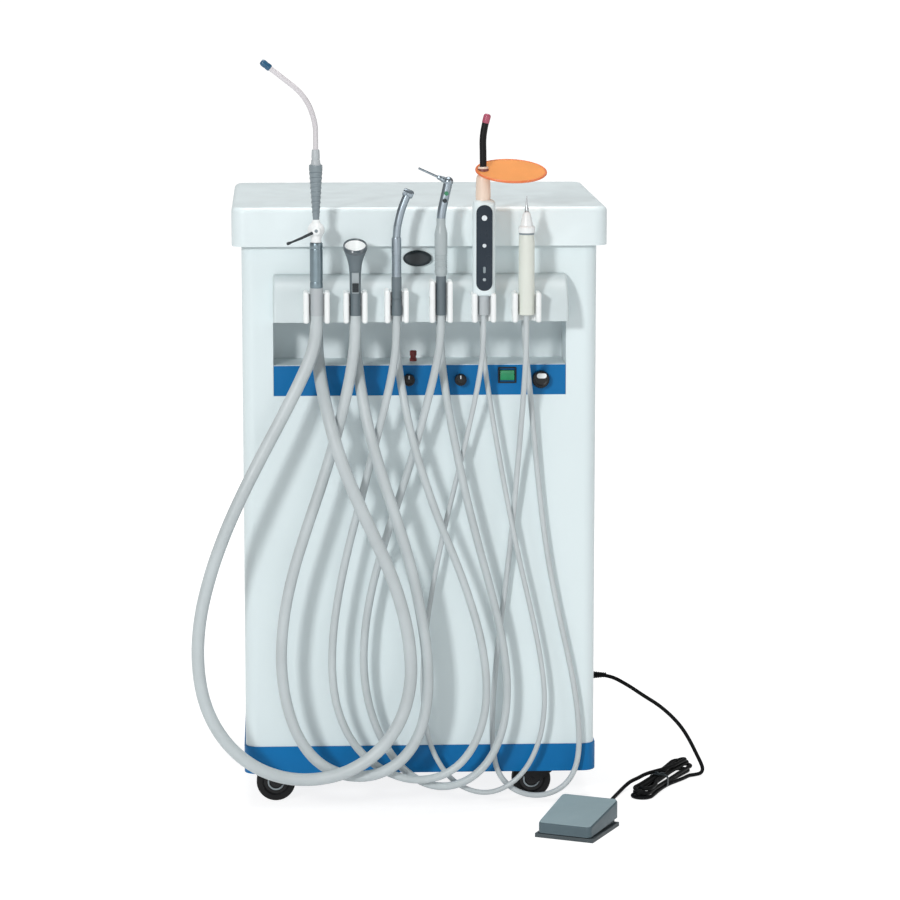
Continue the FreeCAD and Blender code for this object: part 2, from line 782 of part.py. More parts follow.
def compressor():
    """The oil-free compressor: motor and crankcase on a cradle, two heads, and the cooling fan."""
    axis_z = "deck_high + motor_rise"
    motor = rod("motor_drum", "motor_radius", "motor_length", ("0", "motor_length + 20", axis_z), FRONT)
    crankcase = block("crankcase", ("84", "46", "84"), ("-42", "-24", f"{axis_z} - 42"))
    cradle = block("motor_cradle", ("120", "120", "6"), ("-60", "-10", "deck_high + 14"))
    saddle = block("motor_saddle", ("60", "90", "26"), ("-30", "0", "deck_high + 18"))
    shaft = rod("motor_shaft", "fan_shaft", "20", ("0", "fan_y + 1", axis_z), FRONT)
    feet = [
        rod(f"motor_foot_{side}_{end}", "9", "16", (x, y, "deck_high"))
        for side, x in (("left", "-48"), ("right", "48"))
        for end, y in (("front", "2"), ("back", "98"))
    ]
    keep("compressor_motor", joined("motor", motor, crankcase, cradle, saddle, shaft, *feet))
    heads = []
    for side, sign in (("left", -1), ("right", 1)):
        lean = Vector(sign, 0, 1).normalize()
        barrel = rod(f"cylinder_{side}", "19", "48", (f"{sign} * 24", "-1", f"{axis_z} + 24"), lean)
        top = rod(f"cylinder_top_{side}", "24", "12", (f"{sign} * 56", "-1", f"{axis_z} + 56"), lean)
        heads.append(carved(f"head_{side}", joined(f"head_blank_{side}", barrel, top), crankcase))
    keep("compressor_heads", grouped("heads", *heads))
    hub_profile = [
        ("fan_shaft + running_gap", "0"),
        ("14", "0"),
        ("14", "14"),
        ("fan_shaft + running_gap", "14"),
    ]
    hub = turned("fan_hub", hub_profile, ("0", "fan_y", axis_z), FRONT)
    centre = Vector(0, number("fan_y - 7"), number(axis_z))
    twist = FreeCAD.Rotation(Z_AXIS, 35)
    blades = []
    for i in range(6):
        blade = document.addObject("Part::Box", f"fan_blade_{i}")
        for field, value in (("Length", "12"), ("Width", "2.5"), ("Height", "fan_blade")):
            bind(blade, field, value)
        turn = FreeCAD.Rotation(Y_AXIS, 60 * i)
        blade.Placement = FreeCAD.Placement(centre + turn.multVec(Vector(-5, -3, 11)), turn.multiply(twist))
        blades.append(blade)
    keep("cooling_fan", joined("fan", hub, *blades))


def bottles():
    """The clean-water bottle and the waste bottle, side by side on the shelf."""
    profile = [
        ("0", "0"),
        ("bottle_radius - 4", "0"),
        ("bottle_radius", "4"),
        ("bottle_radius", "118"),
        ("bottle_radius - 6", "132"),
        ("bottle_radius - 20", "140"),
        ("bottle_radius - 20", "146"),
        ("bottle_radius - 17", "146"),
        ("bottle_radius - 17", "166"),
        ("0", "166"),
    ]
    pair = [
        turned(f"bottle_{name}", profile, (x, "bottle_y", "shelf_high"))
        for name, x in (("water", "-150"), ("waste", "-50"))
    ]
    keep("bottles", grouped("bottle_pair", *pair))


def electrics():
    """The power supply, the air and water valve block, the mains inlet and the cable gland."""
    keep("power_supply", block("supply_case", ("130", "90", "62"), ("40", "60", "shelf_high")))
    manifold = block("manifold", ("110", "40", "30"), ("60", "-60", "shelf_high"))
    coils = [rod(f"coil_{i}", "10", "34", (f"76 + {i} * 26", "-40", "shelf_high + 27")) for i in range(4)]
    gauge = rod("gauge", "18", "12", ("112", "-58", "shelf_high + 20"), FRONT)
    keep("valve_block", joined("valves", manifold, gauge, *coils))
    back = "cabinet_depth / 2"
    flange = centred("inlet_flange", ("36", "2.5", "28"), "inlet_x", f"{back} + 3.25", "inlet_z - 14")
    body = centred("inlet_body", ("28", "30", "20"), "inlet_x", f"{back} - 12", "inlet_z - 10")
    hollow = centred("inlet_hollow", ("23", "20", "15"), "inlet_x", f"{back} - 3", "inlet_z - 7.5")
    blade = ("2", "13", "4")
    pins = [
        centred(f"inlet_pin_{name}", blade, f"inlet_x + {dx}", f"{back} - 8.5", f"inlet_z + {dz}")
        for name, dx, dz in (("left", -6.5, -3), ("right", 6.5, -3), ("earth", 0, 1))
    ]
    cup = carved("inlet_cup", joined("inlet_solid", flange, body), hollow)
    keep("mains_inlet", joined("inlet", cup, *pins))
    wall = "cabinet_width / 2"
    gland = [
        ("0", "-9"),
        ("6", "-9"),
        ("6", "-3.2"),
        ("4", "-3.2"),
        ("4", "0"),
        ("7", "0"),
        ("7", "4"),
        ("5.4", "5.5"),
        ("4", "12"),
        ("0", "12"),
    ]
    keep("cable_gland", turned("gland", gland, (wall, "gland_y", "gland_z"), X_AXIS))


# ---------------------------------------------------------------- instruments


def on_hook(name, profile, x, foot_z="0"):
    """A turned piece on the upright axis of an instrument in its clip."""
    return turned(name, profile, (x, INSTRUMENT_Y, foot_z))


def ejector():
    """The saliva ejector: cuff, valve ball with its lever, ribbed grip, and the bent tube."""
    profile = [
        ("0", "tail_low"),
        ("ejector_cuff", "tail_low"),
        ("ejector_cuff", "tail_low + 33"),
        ("8", "tail_low + 35"),
        ("8", "ejector_valve_z - 15"),
        ("6.5", "ejector_valve_z - 12"),
        ("9.2", "ejector_valve_z - 5.5"),
        ("10.5", "ejector_valve_z"),
        ("9.2", "ejector_valve_z + 5.5"),
        ("5.5", "ejector_valve_z + 10.5"),
        ("4", "ejector_valve_z + 15"),
        ("8.4", "ejector_collar_z - 24"),
        ("8.4", "ejector_collar_z - 19"),
        ("5.6", "ejector_collar_z - 17"),
        ("4.6", "ejector_collar_z"),
        ("0", "ejector_collar_z"),
    ]
    handle = on_hook("ejector_turned", profile, "ejector_x")
    centre = ("ejector_x", INSTRUMENT_Y, "ejector_valve_z")
    spindle = rod("ejector_spindle", "2", "15", centre, FRONT)
    keep("ejector_body", joined("ejector", handle, spindle))
    disc = rod("lever_disc", "5", "3.5", ("ejector_x", f"{INSTRUMENT_Y} - 11", "ejector_valve_z"), FRONT)
    droop = Vector(-34.5, 0, -18)
    arm_foot = ("ejector_x", f"{INSTRUMENT_Y} - 12.8", "ejector_valve_z")
    arm = taper("lever_arm", "1.7", "1.4", "38", arm_foot, droop)
    tab = ball("lever_tab", "2", ("ejector_x - 33", f"{INSTRUMENT_Y} - 12.8", "ejector_valve_z - 17.2"))
    bore = rod("lever_bore", "2 + running_gap", "20", centre, FRONT)
    keep("ejector_lever", carved("lever", joined("lever_blank", disc, arm, tab), bore))
    middle = Vector(number("ejector_x"), number(INSTRUMENT_Y), number("ejector_collar_z"))
    bends = ((0, 0), (0, 32), (-13, 66), (-47, 93.5), (-58, 102.5))
    route = [middle + Vector(dx, 0, dz) for dx, dz in bends]
    tube = swept(route, number("ejector_tube_radius"))
    direction = (route[-1] - route[-2]).normalize()
    tip = Part.makeCylinder(4, 10, route[-1], direction)
    dome = Part.makeCone(4, 2.6, 2.5, route[-1] + direction * 10, direction)
    bent = document.addObject("Part::Feature", "ejector_bent_tube")
    bent.Shape = tube.fuse([tip, dome]).removeSplitter()
    keep("ejector_tube", bent)


def suction():
    """The large suction handle with its flared mouth, and the slider of its valve."""
    profile = [
        ("0", "tail_low"),
        ("tail_radius", "tail_low"),
        ("tail_radius", "suction_top - 50"),
        ("8", "suction_top - 32"),
        ("11.2", "suction_top - 19"),
        ("15", "suction_top - 9"),
        ("16.5", "suction_top - 5"),
        ("16.5", "suction_top"),
        ("14.5", "suction_top"),
        ("suction_bore", "suction_top - 14"),
        ("suction_bore", "suction_top - 36"),
        ("0", "suction_top - 36"),
    ]
    handle = on_hook("suction_turned", profile, "suction_x")
    face = f"{INSTRUMENT_Y} - 10"
    seat_low = ("suction_x - 4.5", f"{INSTRUMENT_Y} - 9.5", "suction_top - 67")
    seat = block("slider_seat", ("9", "5", "26"), seat_low)
    keep("suction_handle", joined("suction_whole", handle, seat))
    thumb = block("slider_thumb", ("8", "3", "11"), ("suction_x - 4", f"{face} - 2.8", "suction_top - 65"))
    keep("suction_slider", thumb)


def handpiece():
    """The high-speed handpiece: knurled grip, bent neck, head, and the push button of its chuck."""
    profile = [
        ("0", "tail_low"),
        ("tail_radius", "tail_low"),
        ("tail_radius", "tail_low + 12"),
        ("handpiece_radius", "tail_low + 15"),
        ("handpiece_radius", "handpiece_grip_top"),
        ("handpiece_radius - 0.3", "handpiece_grip_top + 1"),
        ("0", "handpiece_grip_top + 1"),
    ]
    grip = on_hook("handpiece_grip", profile, "handpiece_x")
    knee = ("handpiece_x", INSTRUMENT_Y, "handpiece_grip_top - 2")
    throat = ("handpiece_x + 4.2", INSTRUMENT_Y, "handpiece_grip_top + 29")
    middle = taper("handpiece_middle", "4.9", "4.4", "31.3", knee, Vector(4.2, 0, 31))
    neck = taper("handpiece_neck", "4.2", "3.4", "26", throat, Vector(9.5, 0, 22))
    swell = stand(ball("handpiece_swell", "5.1", throat), throat, Vector(1, 3, 2).normalize())
    across = Vector(22, 0, -9.5).normalize()
    head_foot = ("handpiece_x + 9.5", INSTRUMENT_Y, "handpiece_grip_top + 57.8")
    head = rod("handpiece_head", "5.2", "12", head_foot, across)
    solid = joined("handpiece_solid", grip, middle, swell, neck, head)
    pocket = rod("chuck_pocket", "chuck_radius + running_gap", "2.4", head_foot, across)
    keep("handpiece_body", carved("handpiece", solid, pocket))
    cap_foot = ("handpiece_x + 9.5 - 0.9", INSTRUMENT_Y, "handpiece_grip_top + 57.8 + 0.39")
    keep("handpiece_cap", rod("chuck_cap", "chuck_radius", "2.6", cap_foot, across))


def syringe():
    """The air and water syringe: body, leaning head, two buttons and the thin nozzle."""
    profile = [
        ("0", "tail_low"),
        ("syringe_tail", "tail_low"),
        ("syringe_tail", "tail_low + 50"),
        ("syringe_grip_radius", "tail_low + 54"),
        ("syringe_grip_radius", "tail_low + 102"),
        ("5.6", "tail_low + 112"),
        ("5.6", "tail_low + 122"),
        ("0", "tail_low + 122"),
    ]
    grip = on_hook("syringe_grip", profile, "syringe_x")
    lean = Vector(9, 0, 42)
    stalk = rod("syringe_stalk", "5.5", "46", ("syringe_x", INSTRUMENT_Y, "tail_low + 121"), lean)
    crown = ball("syringe_crown", "6.2", ("syringe_x + 9", INSTRUMENT_Y, "tail_low + 165"))
    spout = Vector(-35, 0, 16).normalize()
    snout = rod("syringe_snout", "3.6", "9", ("syringe_x + 9", INSTRUMENT_Y, "tail_low + 165"), spout)
    solid = joined("syringe_solid", grip, stalk, crown, snout)
    keys = (
        ("syringe_air_button", "syringe_x + 6.4", "tail_low + 151"),
        ("syringe_water_button", "syringe_x + 4.5", "tail_low + 142"),
    )
    pits = []
    for node, x, z in keys:
        pit_foot = (x, f"{INSTRUMENT_Y} - 1", z)
        pits.append(rod(f"{node}_pit", "key_radius + running_gap", "12", pit_foot, FRONT))
        keep(node, rod(f"{node}_cap", "key_radius", "5.2", (x, f"{INSTRUMENT_Y} - 3", z), FRONT))
    keep("syringe_body", carved("syringe", solid, *pits))
    tip_foot = Vector(number("syringe_x + 9"), number(INSTRUMENT_Y), number("tail_low + 165")) + spout * 9.2
    nut = Part.makeCone(3.2, 2.4, 5, tip_foot, spout)
    needle = Part.makeCylinder(1.4, 31, tip_foot, spout)
    nozzle = document.addObject("Part::Feature", "nozzle_shape")
    nozzle.Shape = nut.fuse(needle).removeSplitter()
    keep("syringe_nozzle", nozzle)


def light():
    """The curing light: flat handle on a thin neck, its key, the light guide and the eye shield."""
    profile = [
        ("0", "tail_low"),
        ("tail_radius", "tail_low"),
        ("tail_radius", "light_low + 4"),
        ("0", "light_low + 4"),
    ]
    neck = on_hook("light_neck", profile, "light_x")
    half_width, half_thick = "light_width / 2", "light_thick / 2"
    corners = [
        (f"-{half_width}", f"-{half_thick}"),
        (half_width, f"-{half_thick}"),
        (half_width, half_thick),
        (f"-{half_width}", half_thick),
    ]
    handle = plate("light_handle", corners, "light_high - light_low", ("light_x", INSTRUMENT_Y, "light_low"))
    soften(handle, "9", upright)
    top = number("light_high - light_low")
    soften(handle, "5", lambda edge: abs(abs(edge.CenterOfMass.z - top / 2) - top / 2) < 1e-3)
    ferrule = taper("light_ferrule", "9.4", "8.4", "33", ("guide_x", INSTRUMENT_Y, "light_high - 3"))
    solid = joined("light_solid", neck, handle, ferrule)
    front = f"{INSTRUMENT_Y} - light_thick / 2"
    pit_foot = ("light_x", f"{front} + 3", "light_key_z")
    pit = rod("light_key_pit", "light_key_radius + running_gap", "8", pit_foot, FRONT)
    seat = rod("guide_seat", "guide_radius + running_gap", "20", ("guide_x", INSTRUMENT_Y, "guide_low"))
    keep("light_body", carved("light", solid, pit, seat))
    key_foot = ("light_x", f"{front} + 1.6", "light_key_z")
    keep("light_button", rod("light_key", "light_key_radius", "2.8", key_foot, FRONT))
    foot = Vector(number("guide_x"), number(INSTRUMENT_Y), number("guide_low + 0.3"))
    route = [foot + Vector(dx, 0, dz) for dx, dz in ((0, 0), (0, 30), (-0.8, 57), (5.6, 81.5))]
    guide = document.addObject("Part::Feature", "guide_shape")
    guide.Shape = swept(route, number("guide_radius"))
    keep("light_guide", guide)
    disc = oval("shield_disc", "shield_half_long", "shield_half_wide", "shield_thick", ("0", "0", "0"))
    hole = rod("shield_hole", "guide_radius + 2", "20", ("shield_hole_x", "0", "-10"))
    shield = carved("shield_flat", disc, hole)
    tilt = FreeCAD.Rotation(Y_AXIS, 2).multiply(FreeCAD.Rotation(X_AXIS, 21))
    seat_point = Vector(number("guide_x"), number(INSTRUMENT_Y), number("shield_z"))
    shield.Placement = FreeCAD.Placement(
        seat_point - tilt.multVec(Vector(number("shield_hole_x"), 0, number("shield_thick / 2"))), tilt
    )
    sleeve_low = ("guide_x", INSTRUMENT_Y, "shield_z - 3.5")
    sleeve = rod("shield_sleeve", "guide_radius + 2.6", "7", sleeve_low)
    bore = rod("shield_bore", "guide_radius + running_gap", "30", ("guide_x", INSTRUMENT_Y, "shield_z - 15"))
    keep("light_shield", carved("shield", joined("shield_blank", shield, sleeve), bore))


def scaler():
    """The ultrasonic scaler's handle with its nose ring and cone, and the screwed-in tip."""
    profile = [
        ("0", "tail_low"),
        ("scaler_radius", "tail_low"),
        ("scaler_radius", "scaler_ring_z - 8"),
        ("scaler_radius - 1", "scaler_ring_z - 1"),
        ("scaler_radius", "scaler_ring_z"),
        ("scaler_radius", "scaler_ring_z + 4"),
        ("scaler_radius - 2", "scaler_ring_z + 5"),
        ("4.5", "scaler_ring_z + 20"),
        ("3.4", "scaler_ring_z + 22"),
        ("0", "scaler_ring_z + 22"),
    ]
    keep("scaler_body", on_hook("scaler_turned", profile, "scaler_x"))
    tip = [("0", "0"), ("2.6", "0"), ("2.6", "4"), ("1.4", "9"), ("0.7", "20"), ("0", "20")]
    keep("scaler_tip", on_hook("scaler_point", tip, "scaler_x", "scaler_ring_z + 22"))


# ---------------------------------------------------------------- foot pedal


def on_floor(item):
    """Turns and moves a piece that was made about the pedal's own middle to its place."""
    item.Placement = FreeCAD.Placement(Vector(), FreeCAD.Rotation(Z_AXIS, SIZES["pedal_turn"]))
    bind(item, "Placement.Base.x", "pedal_x")
    bind(item, "Placement.Base.y", "pedal_y")
    return item


def pedal_taper(name, inset):
    """Two cutters that narrow a part of the pedal toward its low end."""
    half = "pedal_length / 2"
    cutters = []
    for side, sign in (("left", "-"), ("right", "")):
        outline = [
            (f"{sign}(pedal_front / 2 - {inset})", f"-{half}"),
            (f"{sign}(pedal_front / 2 - {inset})", f"-{half} - 5"),
            (f"{sign}60", f"-{half} - 5"),
            (f"{sign}60", f"{half} + 5"),
            (f"{sign}(pedal_back / 2 - {inset})", f"{half} + 5"),
            (f"{sign}(pedal_back / 2 - {inset})", f"{half}"),
        ]
        cutters.append(plate(f"{name}_{side}_taper", outline, "60", foot=("0", "0", "-5")))
    return cutters


def pedal():
    """The foot switch: a floor plate with its ledge and cable boss, and the hinged wedge on top."""
    half = "pedal_length / 2"
    floor_plate = centred("pedal_plate", ("pedal_width", "pedal_length", "5"), "0", "0", "0")
    ledge_outline = [
        (f"-{half} + 4", "1"),
        (f"{half} - 4", "1"),
        (f"{half} - 4", "15"),
        (f"-{half} + 4", "12"),
    ]
    ledge = plate("pedal_ledge", ledge_outline, "pedal_width", role="YZ_Plane", midplane=True)
    ledge = carved("pedal_ledge_shape", ledge, *pedal_taper("pedal_ledge", "4"))
    pit = centred("pedal_pit", ("pedal_front - 14", "pedal_length - 26", "20"), "0", "2", "5")
    boss = rod("pedal_boss", "4", "15", ("0", f"{half} - 5", "6.5"), Y_AXIS)
    pin_hole = rod(
        "pedal_pin_hole", "pedal_pin_radius + running_gap", "80", ("-40", f"-{half} + 8", "8.5"), X_AXIS
    )
    tray = carved("pedal_tray", joined("pedal_floor", floor_plate, ledge), pit, pin_hole)
    post = block("pedal_stop", ("16", "10", "8"), ("-8", "20", "4"))
    keep("pedal_base", on_floor(joined("pedal_base_solid", tray, boss, post)))
    shell_outline = [
        (f"-{half}", "6"),
        (f"{half}", "12"),
        (f"{half}", "pedal_high_end"),
        (f"-{half}", "pedal_low_end"),
    ]
    wedge = plate("pedal_wedge", shell_outline, "pedal_width", role="YZ_Plane", midplane=True)
    hollow_outline = [
        (f"-{half} + 2.5", "0"),
        (f"{half} - 2.5", "0"),
        (f"{half} - 2.5", "pedal_high_end - 3.5"),
        (f"-{half} + 2.5", "pedal_low_end - 2.5"),
    ]
    hollow = plate("pedal_hollow", hollow_outline, "pedal_width", role="YZ_Plane", midplane=True)
    hollow = carved("pedal_hollow_shape", hollow, *pedal_taper("pedal_hollow", "2.5"))
    notch = block("pedal_notch", ("13", "10", "10"), ("-6.5", f"{half} - 5", "8"))
    cap = carved("pedal_cap", wedge, hollow, notch, *pedal_taper("pedal_cap", "0"))
    pin_start = ("-pedal_front / 2", f"-{half} + 8", "8.5")
    pin = rod("pedal_pin", "pedal_pin_radius", "pedal_front", pin_start, X_AXIS)
    keep("pedal_treadle", on_floor(joined("pedal_treadle_solid", cap, pin)))


# ---------------------------------------------------------------- cords


def rounded_path(points):
    """Straight runs joined by arcs that touch them, and the smallest radius on the way."""
    edges = []
    last = points[0]
    tightest = math.inf
    for before, corner, after in zip(points, points[1:], points[2:]):
        back, ahead = before - corner, after - corner
        shorter = min(back.Length, ahead.Length)
        back, ahead = back.normalize(), ahead.normalize()
        half_turn = (math.pi - back.getAngle(ahead)) / 2
        cut = 0.45 * shorter
        radius = cut / math.tan(half_turn)
        tightest = min(tightest, radius)
        start, end = corner + back * cut, corner + ahead * cut
        inward = (back + ahead).normalize()
        middle = corner + inward * (radius / math.cos(half_turn) - radius)
        edges.append(Part.LineSegment(last, start).toShape())
        edges.append(Part.Arc(start, middle, end).toShape())
        last = end
    edges.append(Part.LineSegment(last, points[-1]).toShape())
    return Part.Wire(edges), tightest


def swept(points, radius):
    """A round tube along a rounded path."""
    path = rounded_path(points)[0]
    start = path.Edges[0]
    ring = Part.Wire(Part.makeCircle(radius, points[0], start.tangentAt(start.FirstParameter)))
    return path.makePipeShell([ring], True, False)


# Each route starts where the cord leaves the cabinet and ends at the tool or pedal that it feeds.
ROUTES = {
    "ejector_hose": (16, [
        (-130, -207, 634), (-130, -207, 604), (-127.5, -216.5, 572), (-122, -237.5, 539),
        (-114, -259, 505), (-102, -268, 463), (-82, -271, 413), (-60, -270.5, 365), (-40, -270, 320),
        (-25, -270, 274), (-16, -270, 228), (-14, -270, 180), (-26, -270, 132), (-53, -270, 93),
        (-90, -270, 67), (-131, -270, 56), (-175, -270, 58), (-216, -270, 75), (-250, -270, 107),
        (-273, -270, 151), (-282, -270, 204), (-279, -270, 261), (-265, -270, 319), (-245, -270, 374),
        (-222, -268, 424), (-198, -264, 470), (-175, -258, 512), (-154, -250.5, 552), (-137, -246, 588),
        (-130, -245, 618), (-130, -245, 640),
    ]),
    "suction_hose": (14, [
        (-82, -207, 634), (-82, -207, 604), (-79, -218, 572), (-74, -236, 537), (-66, -248, 496),
        (-52, -252, 446), (-34, -252, 391), (-16, -251, 333), (-2, -251, 270), (7, -251, 207),
        (7, -251, 150), (-4, -251, 105), (-28, -251, 72), (-62, -251, 55), (-100, -251, 56),
        (-134, -251, 74), (-158, -251, 108), (-172, -251, 152), (-178, -251, 203), (-174, -251, 260),
        (-162, -251, 317), (-144, -251, 374), (-124, -248.5, 432), (-107.5, -244.5, 485), (-95, -243.5, 534),
        (-86, -244, 578), (-82, -245, 615), (-82, -245, 640),
    ]),
    "handpiece_hose": (10, [
        (-31, -207, 634), (-31, -207, 604), (-28, -213, 572), (-21.5, -225, 530), (-11, -234, 480),
        (5, -236, 427), (23, -236, 376), (43, -235, 328), (61, -235, 278), (76, -235, 224),
        (83, -235, 170), (79, -235, 121), (62, -235, 80), (34, -235, 53), (-4, -235, 44),
        (-43, -235, 54), (-77, -235, 80), (-101, -235, 118), (-113, -235, 167), (-113, -235, 229),
        (-104, -235, 292), (-90, -235, 355), (-73, -235, 418), (-57, -235.5, 481), (-44, -239, 532),
        (-34.5, -243.5, 578), (-31, -245, 614), (-31, -245, 640),
    ]),
    "syringe_hose": (10, [
        (24, -207, 634), (24, -207, 606), (27, -209, 571), (33, -214, 526), (43, -219, 473),
        (56, -221.5, 410), (72, -221.3, 346), (89, -221, 284), (103, -221, 225), (110, -221, 166),
        (106, -221, 112), (89, -221, 68), (59, -221, 39), (20, -221, 31), (-18, -221, 49),
        (-47, -221, 87), (-66, -221, 134), (-74, -221, 187), (-71, -221, 245), (-60, -221, 303),
        (-43, -221, 360), (-24, -221.2, 417), (-6, -222.5, 475), (8, -229, 530), (19, -239, 578),
        (24, -245, 613), (24, -245, 640),
    ]),
    "light_cord": (6.5, [
        (77, -207, 634), (77, -207, 607), (80.5, -207.4, 571), (87, -208.2, 526), (97, -209.2, 466),
        (109, -209.6, 400), (123, -209.2, 330), (139.5, -209, 260), (153, -209, 195), (159, -209, 136),
        (150, -209, 80), (125, -209, 38), (86, -209, 18), (43, -209, 32), (14, -209, 74),
        (3, -209, 125), (2, -209, 184), (8, -209, 248), (19, -209, 314), (34, -209, 384),
        (51, -210.5, 452), (65, -218, 516), (74.5, -233, 571), (77, -245, 612), (77, -245, 640),
    ]),
    "scaler_hose": (7, [
        (130, -207, 634), (130, -207, 607), (134, -206, 571), (139, -203.5, 526), (143.5, -200.5, 476),
        (149, -199, 424), (155, -198.8, 368), (164, -199, 309), (177, -199, 245), (192, -199, 180),
        (202, -199, 117), (203, -199, 60), (187, -199, 27), (156, -199, 13), (122, -199, 19),
        (98, -199, 43), (91, -199, 83), (92, -199, 142), (98, -199, 210), (107, -199, 282),
        (115, -200, 352), (121, -206.5, 428), (126, -221, 505), (129.5, -236, 566), (130, -245, 612),
        (130, -245, 640),
    ]),
    "pedal_cable_upper": (5, [
        (235, -56, 140.5), (253, -56, 140.5), (279, -55, 126), (300, -53, 111), (320, -50.5, 98),
        (338, -47.5, 82), (353, -44.5, 64.5), (364.5, -41, 45), (373, -38.5, 27.5), (378.5, -39.5, 16.5),
        (381.3, -44.5, 8.5), (377.8, -51, 4.2), (369.4, -53.8, 3.2), (361, -56, 3.4), (352, -62, 5.5),
    ]),
    "pedal_cable_lower": (5, [
        (296, -108, 15.5), (287.7, -112, 14), (278, -112.6, 10), (269.4, -121, 5.4), (261.6, -137, 3),
        (253.6, -159, 2.6), (246.2, -182, 2.8), (240, -205, 3.4), (235, -226, 4.6), (229, -243.5, 6),
        (221.5, -259.5, 6.5), (214.9, -273.1, 6.5),
    ]),
}


def cords():
    """Six instrument hoses, the pedal's cable on both sides of its hank, and the hank."""
    for name, (diameter, points) in ROUTES.items():
        route = [Vector(*point) for point in points]
        tube = swept(route, diameter / 2)
        path, tightest = rounded_path(route)
        full = tube.Volume / (math.pi * diameter ** 2 / 4 * path.Length)
        print(f"{name}: {path.Length:.0f} mm, tightest radius {tightest:.0f} mm, volume ratio {full:.4f}")
        cord = document.addObject("Part::Feature", f"{name}_tube")
        cord.Shape = tube
        keep(name, cord)
    outline = [
        ("288.1", "-174.9"),
        ("275.7", "-168.4"),
        ("273.7", "-153.9"),
        ("280.6", "-137.2"),
        ("280.5", "-118"),
        ("294.5", "-106.1"),
        ("313.7", "-82.3"),
        ("329.9", "-45.6"),
        ("337.9", "-22.7"),
        ("347.9", "-9.9"),
        ("360", "-8.3"),
        ("368.8", "-17.4"),
        ("368.1", "-33.9"),
        ("355.6", "-61.2"),
        ("347.7", "-84.1"),
        ("330.3", "-106.7"),
        ("312.7", "-142.6"),
        ("301.2", "-168.2"),
    ]
    hank = plate("hank_blank", outline, "hank_height")
    top = number("hank_height")
    soften(hank, "8", lambda edge: all(abs(v.Z - top) < 1e-6 for v in edge.Vertexes))
    keep("pedal_cable_hank", hank)


# ---------------------------------------------------------------- build, check, write

cabinet_shell()
rear_panel()
base_tray()
hose_bay()
control_panel()
knob("scaler_knob", "scaler_knob_x", "11", "9")
knob("air_knob", "air_knob_x", "7.5", "9")
knob("water_knob", "water_knob_x", "7.5", "9")
power_rocker()
lid_latch()
top_cover()
lid_hinges()
instrument_holder()
hose_sockets()
casters()
equipment_deck()
air_tank()
compressor()
bottles()
electrics()
ejector()
suction()
handpiece()
syringe()
light()
scaler()
pedal()
cords()
document.recompute()

broken = [item.Name for item in document.Objects if {"Invalid", "Error"} & set(item.State)]
if broken:
    raise RuntimeError(f"these objects did not build: {broken}")
for name, item in nodes.items():
    if item.Shape.isNull() or not item.Shape.isValid() or not item.Shape.Solids:
        raise RuntimeError(f"{name} has no valid solid")

os.makedirs("parts", exist_ok=True)
for name, item in nodes.items():
    item.Shape.exportStep(f"parts/{name}.step")
    box = item.Shape.optimalBoundingBox(False)
    low = f"{box.XMin:.1f} {box.YMin:.1f} {box.ZMin:.1f}"
    high = f"{box.XMax:.1f} {box.YMax:.1f} {box.ZMax:.1f}"
    print(f"{name}: {len(item.Shape.Solids)} solid(s), {item.Shape.Volume / 1000:.1f} cm3, {low} to {high}")
print(f"{len(nodes)} nodes")
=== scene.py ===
import json
import math

import bpy
from mathutils import Matrix, Vector

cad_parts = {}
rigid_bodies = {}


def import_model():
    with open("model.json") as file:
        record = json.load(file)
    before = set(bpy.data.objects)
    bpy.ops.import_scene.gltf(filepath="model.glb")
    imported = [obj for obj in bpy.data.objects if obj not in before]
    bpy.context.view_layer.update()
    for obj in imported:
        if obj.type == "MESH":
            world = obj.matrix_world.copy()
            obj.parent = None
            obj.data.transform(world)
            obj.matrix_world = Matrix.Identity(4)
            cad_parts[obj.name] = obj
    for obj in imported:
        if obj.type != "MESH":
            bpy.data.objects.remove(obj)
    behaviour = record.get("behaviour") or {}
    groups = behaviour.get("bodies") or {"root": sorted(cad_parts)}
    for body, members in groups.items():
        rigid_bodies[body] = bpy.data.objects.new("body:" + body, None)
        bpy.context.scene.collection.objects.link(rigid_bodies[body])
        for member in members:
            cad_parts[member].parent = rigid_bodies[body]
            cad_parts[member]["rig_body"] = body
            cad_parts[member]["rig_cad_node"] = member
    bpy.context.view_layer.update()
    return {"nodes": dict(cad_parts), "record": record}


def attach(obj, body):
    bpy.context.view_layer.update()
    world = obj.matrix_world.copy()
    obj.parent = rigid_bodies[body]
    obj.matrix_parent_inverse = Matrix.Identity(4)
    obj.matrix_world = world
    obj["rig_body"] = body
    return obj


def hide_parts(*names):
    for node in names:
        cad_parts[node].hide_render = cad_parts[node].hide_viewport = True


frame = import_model()
bpy.ops.object.select_all(action="DESELECT")
scene = bpy.context.scene
scene.view_settings.view_transform = "Standard"

MM = 0.001
MERGE = 0.00001  # points nearer than this are merged, in metres
UP, FRONT, BACK = Vector((0, 0, 1)), Vector((0, -1, 0)), Vector((0, 1, 0))
TOOL_Y = -245  # the row of instruments
FACE_Y = -188  # the front of the cabinet
EJECTOR_X, SUCTION_X, HANDPIECE_X, SYRINGE_X, LIGHT_X, SCALER_X = -130, -82, -31, 24, 77, 130
GUIDE_X = 76
VALVE_Z = 746  # the middle of the ejector's ball valve
GLAND = (223, -56, 140.5)
PEDAL, PEDAL_TURN = Vector((190.4, -323.4, 0)), -26

# ---- camera

bpy.ops.object.camera_add(location=(-0.1754, -4.6095, 1.1497))
camera = bpy.context.object
camera.name = "studio_camera"
camera.rotation_euler = Vector((0.04718, 0.98525, -0.16451)).to_track_quat("-Z", "Y").to_euler()
camera.data.lens = 141.9
camera.data.sensor_width = 36
camera.data.shift_x = 0.00136
camera.data.shift_y = 0.0438
camera.data.clip_end = 200
scene.camera = camera

# ---- materials


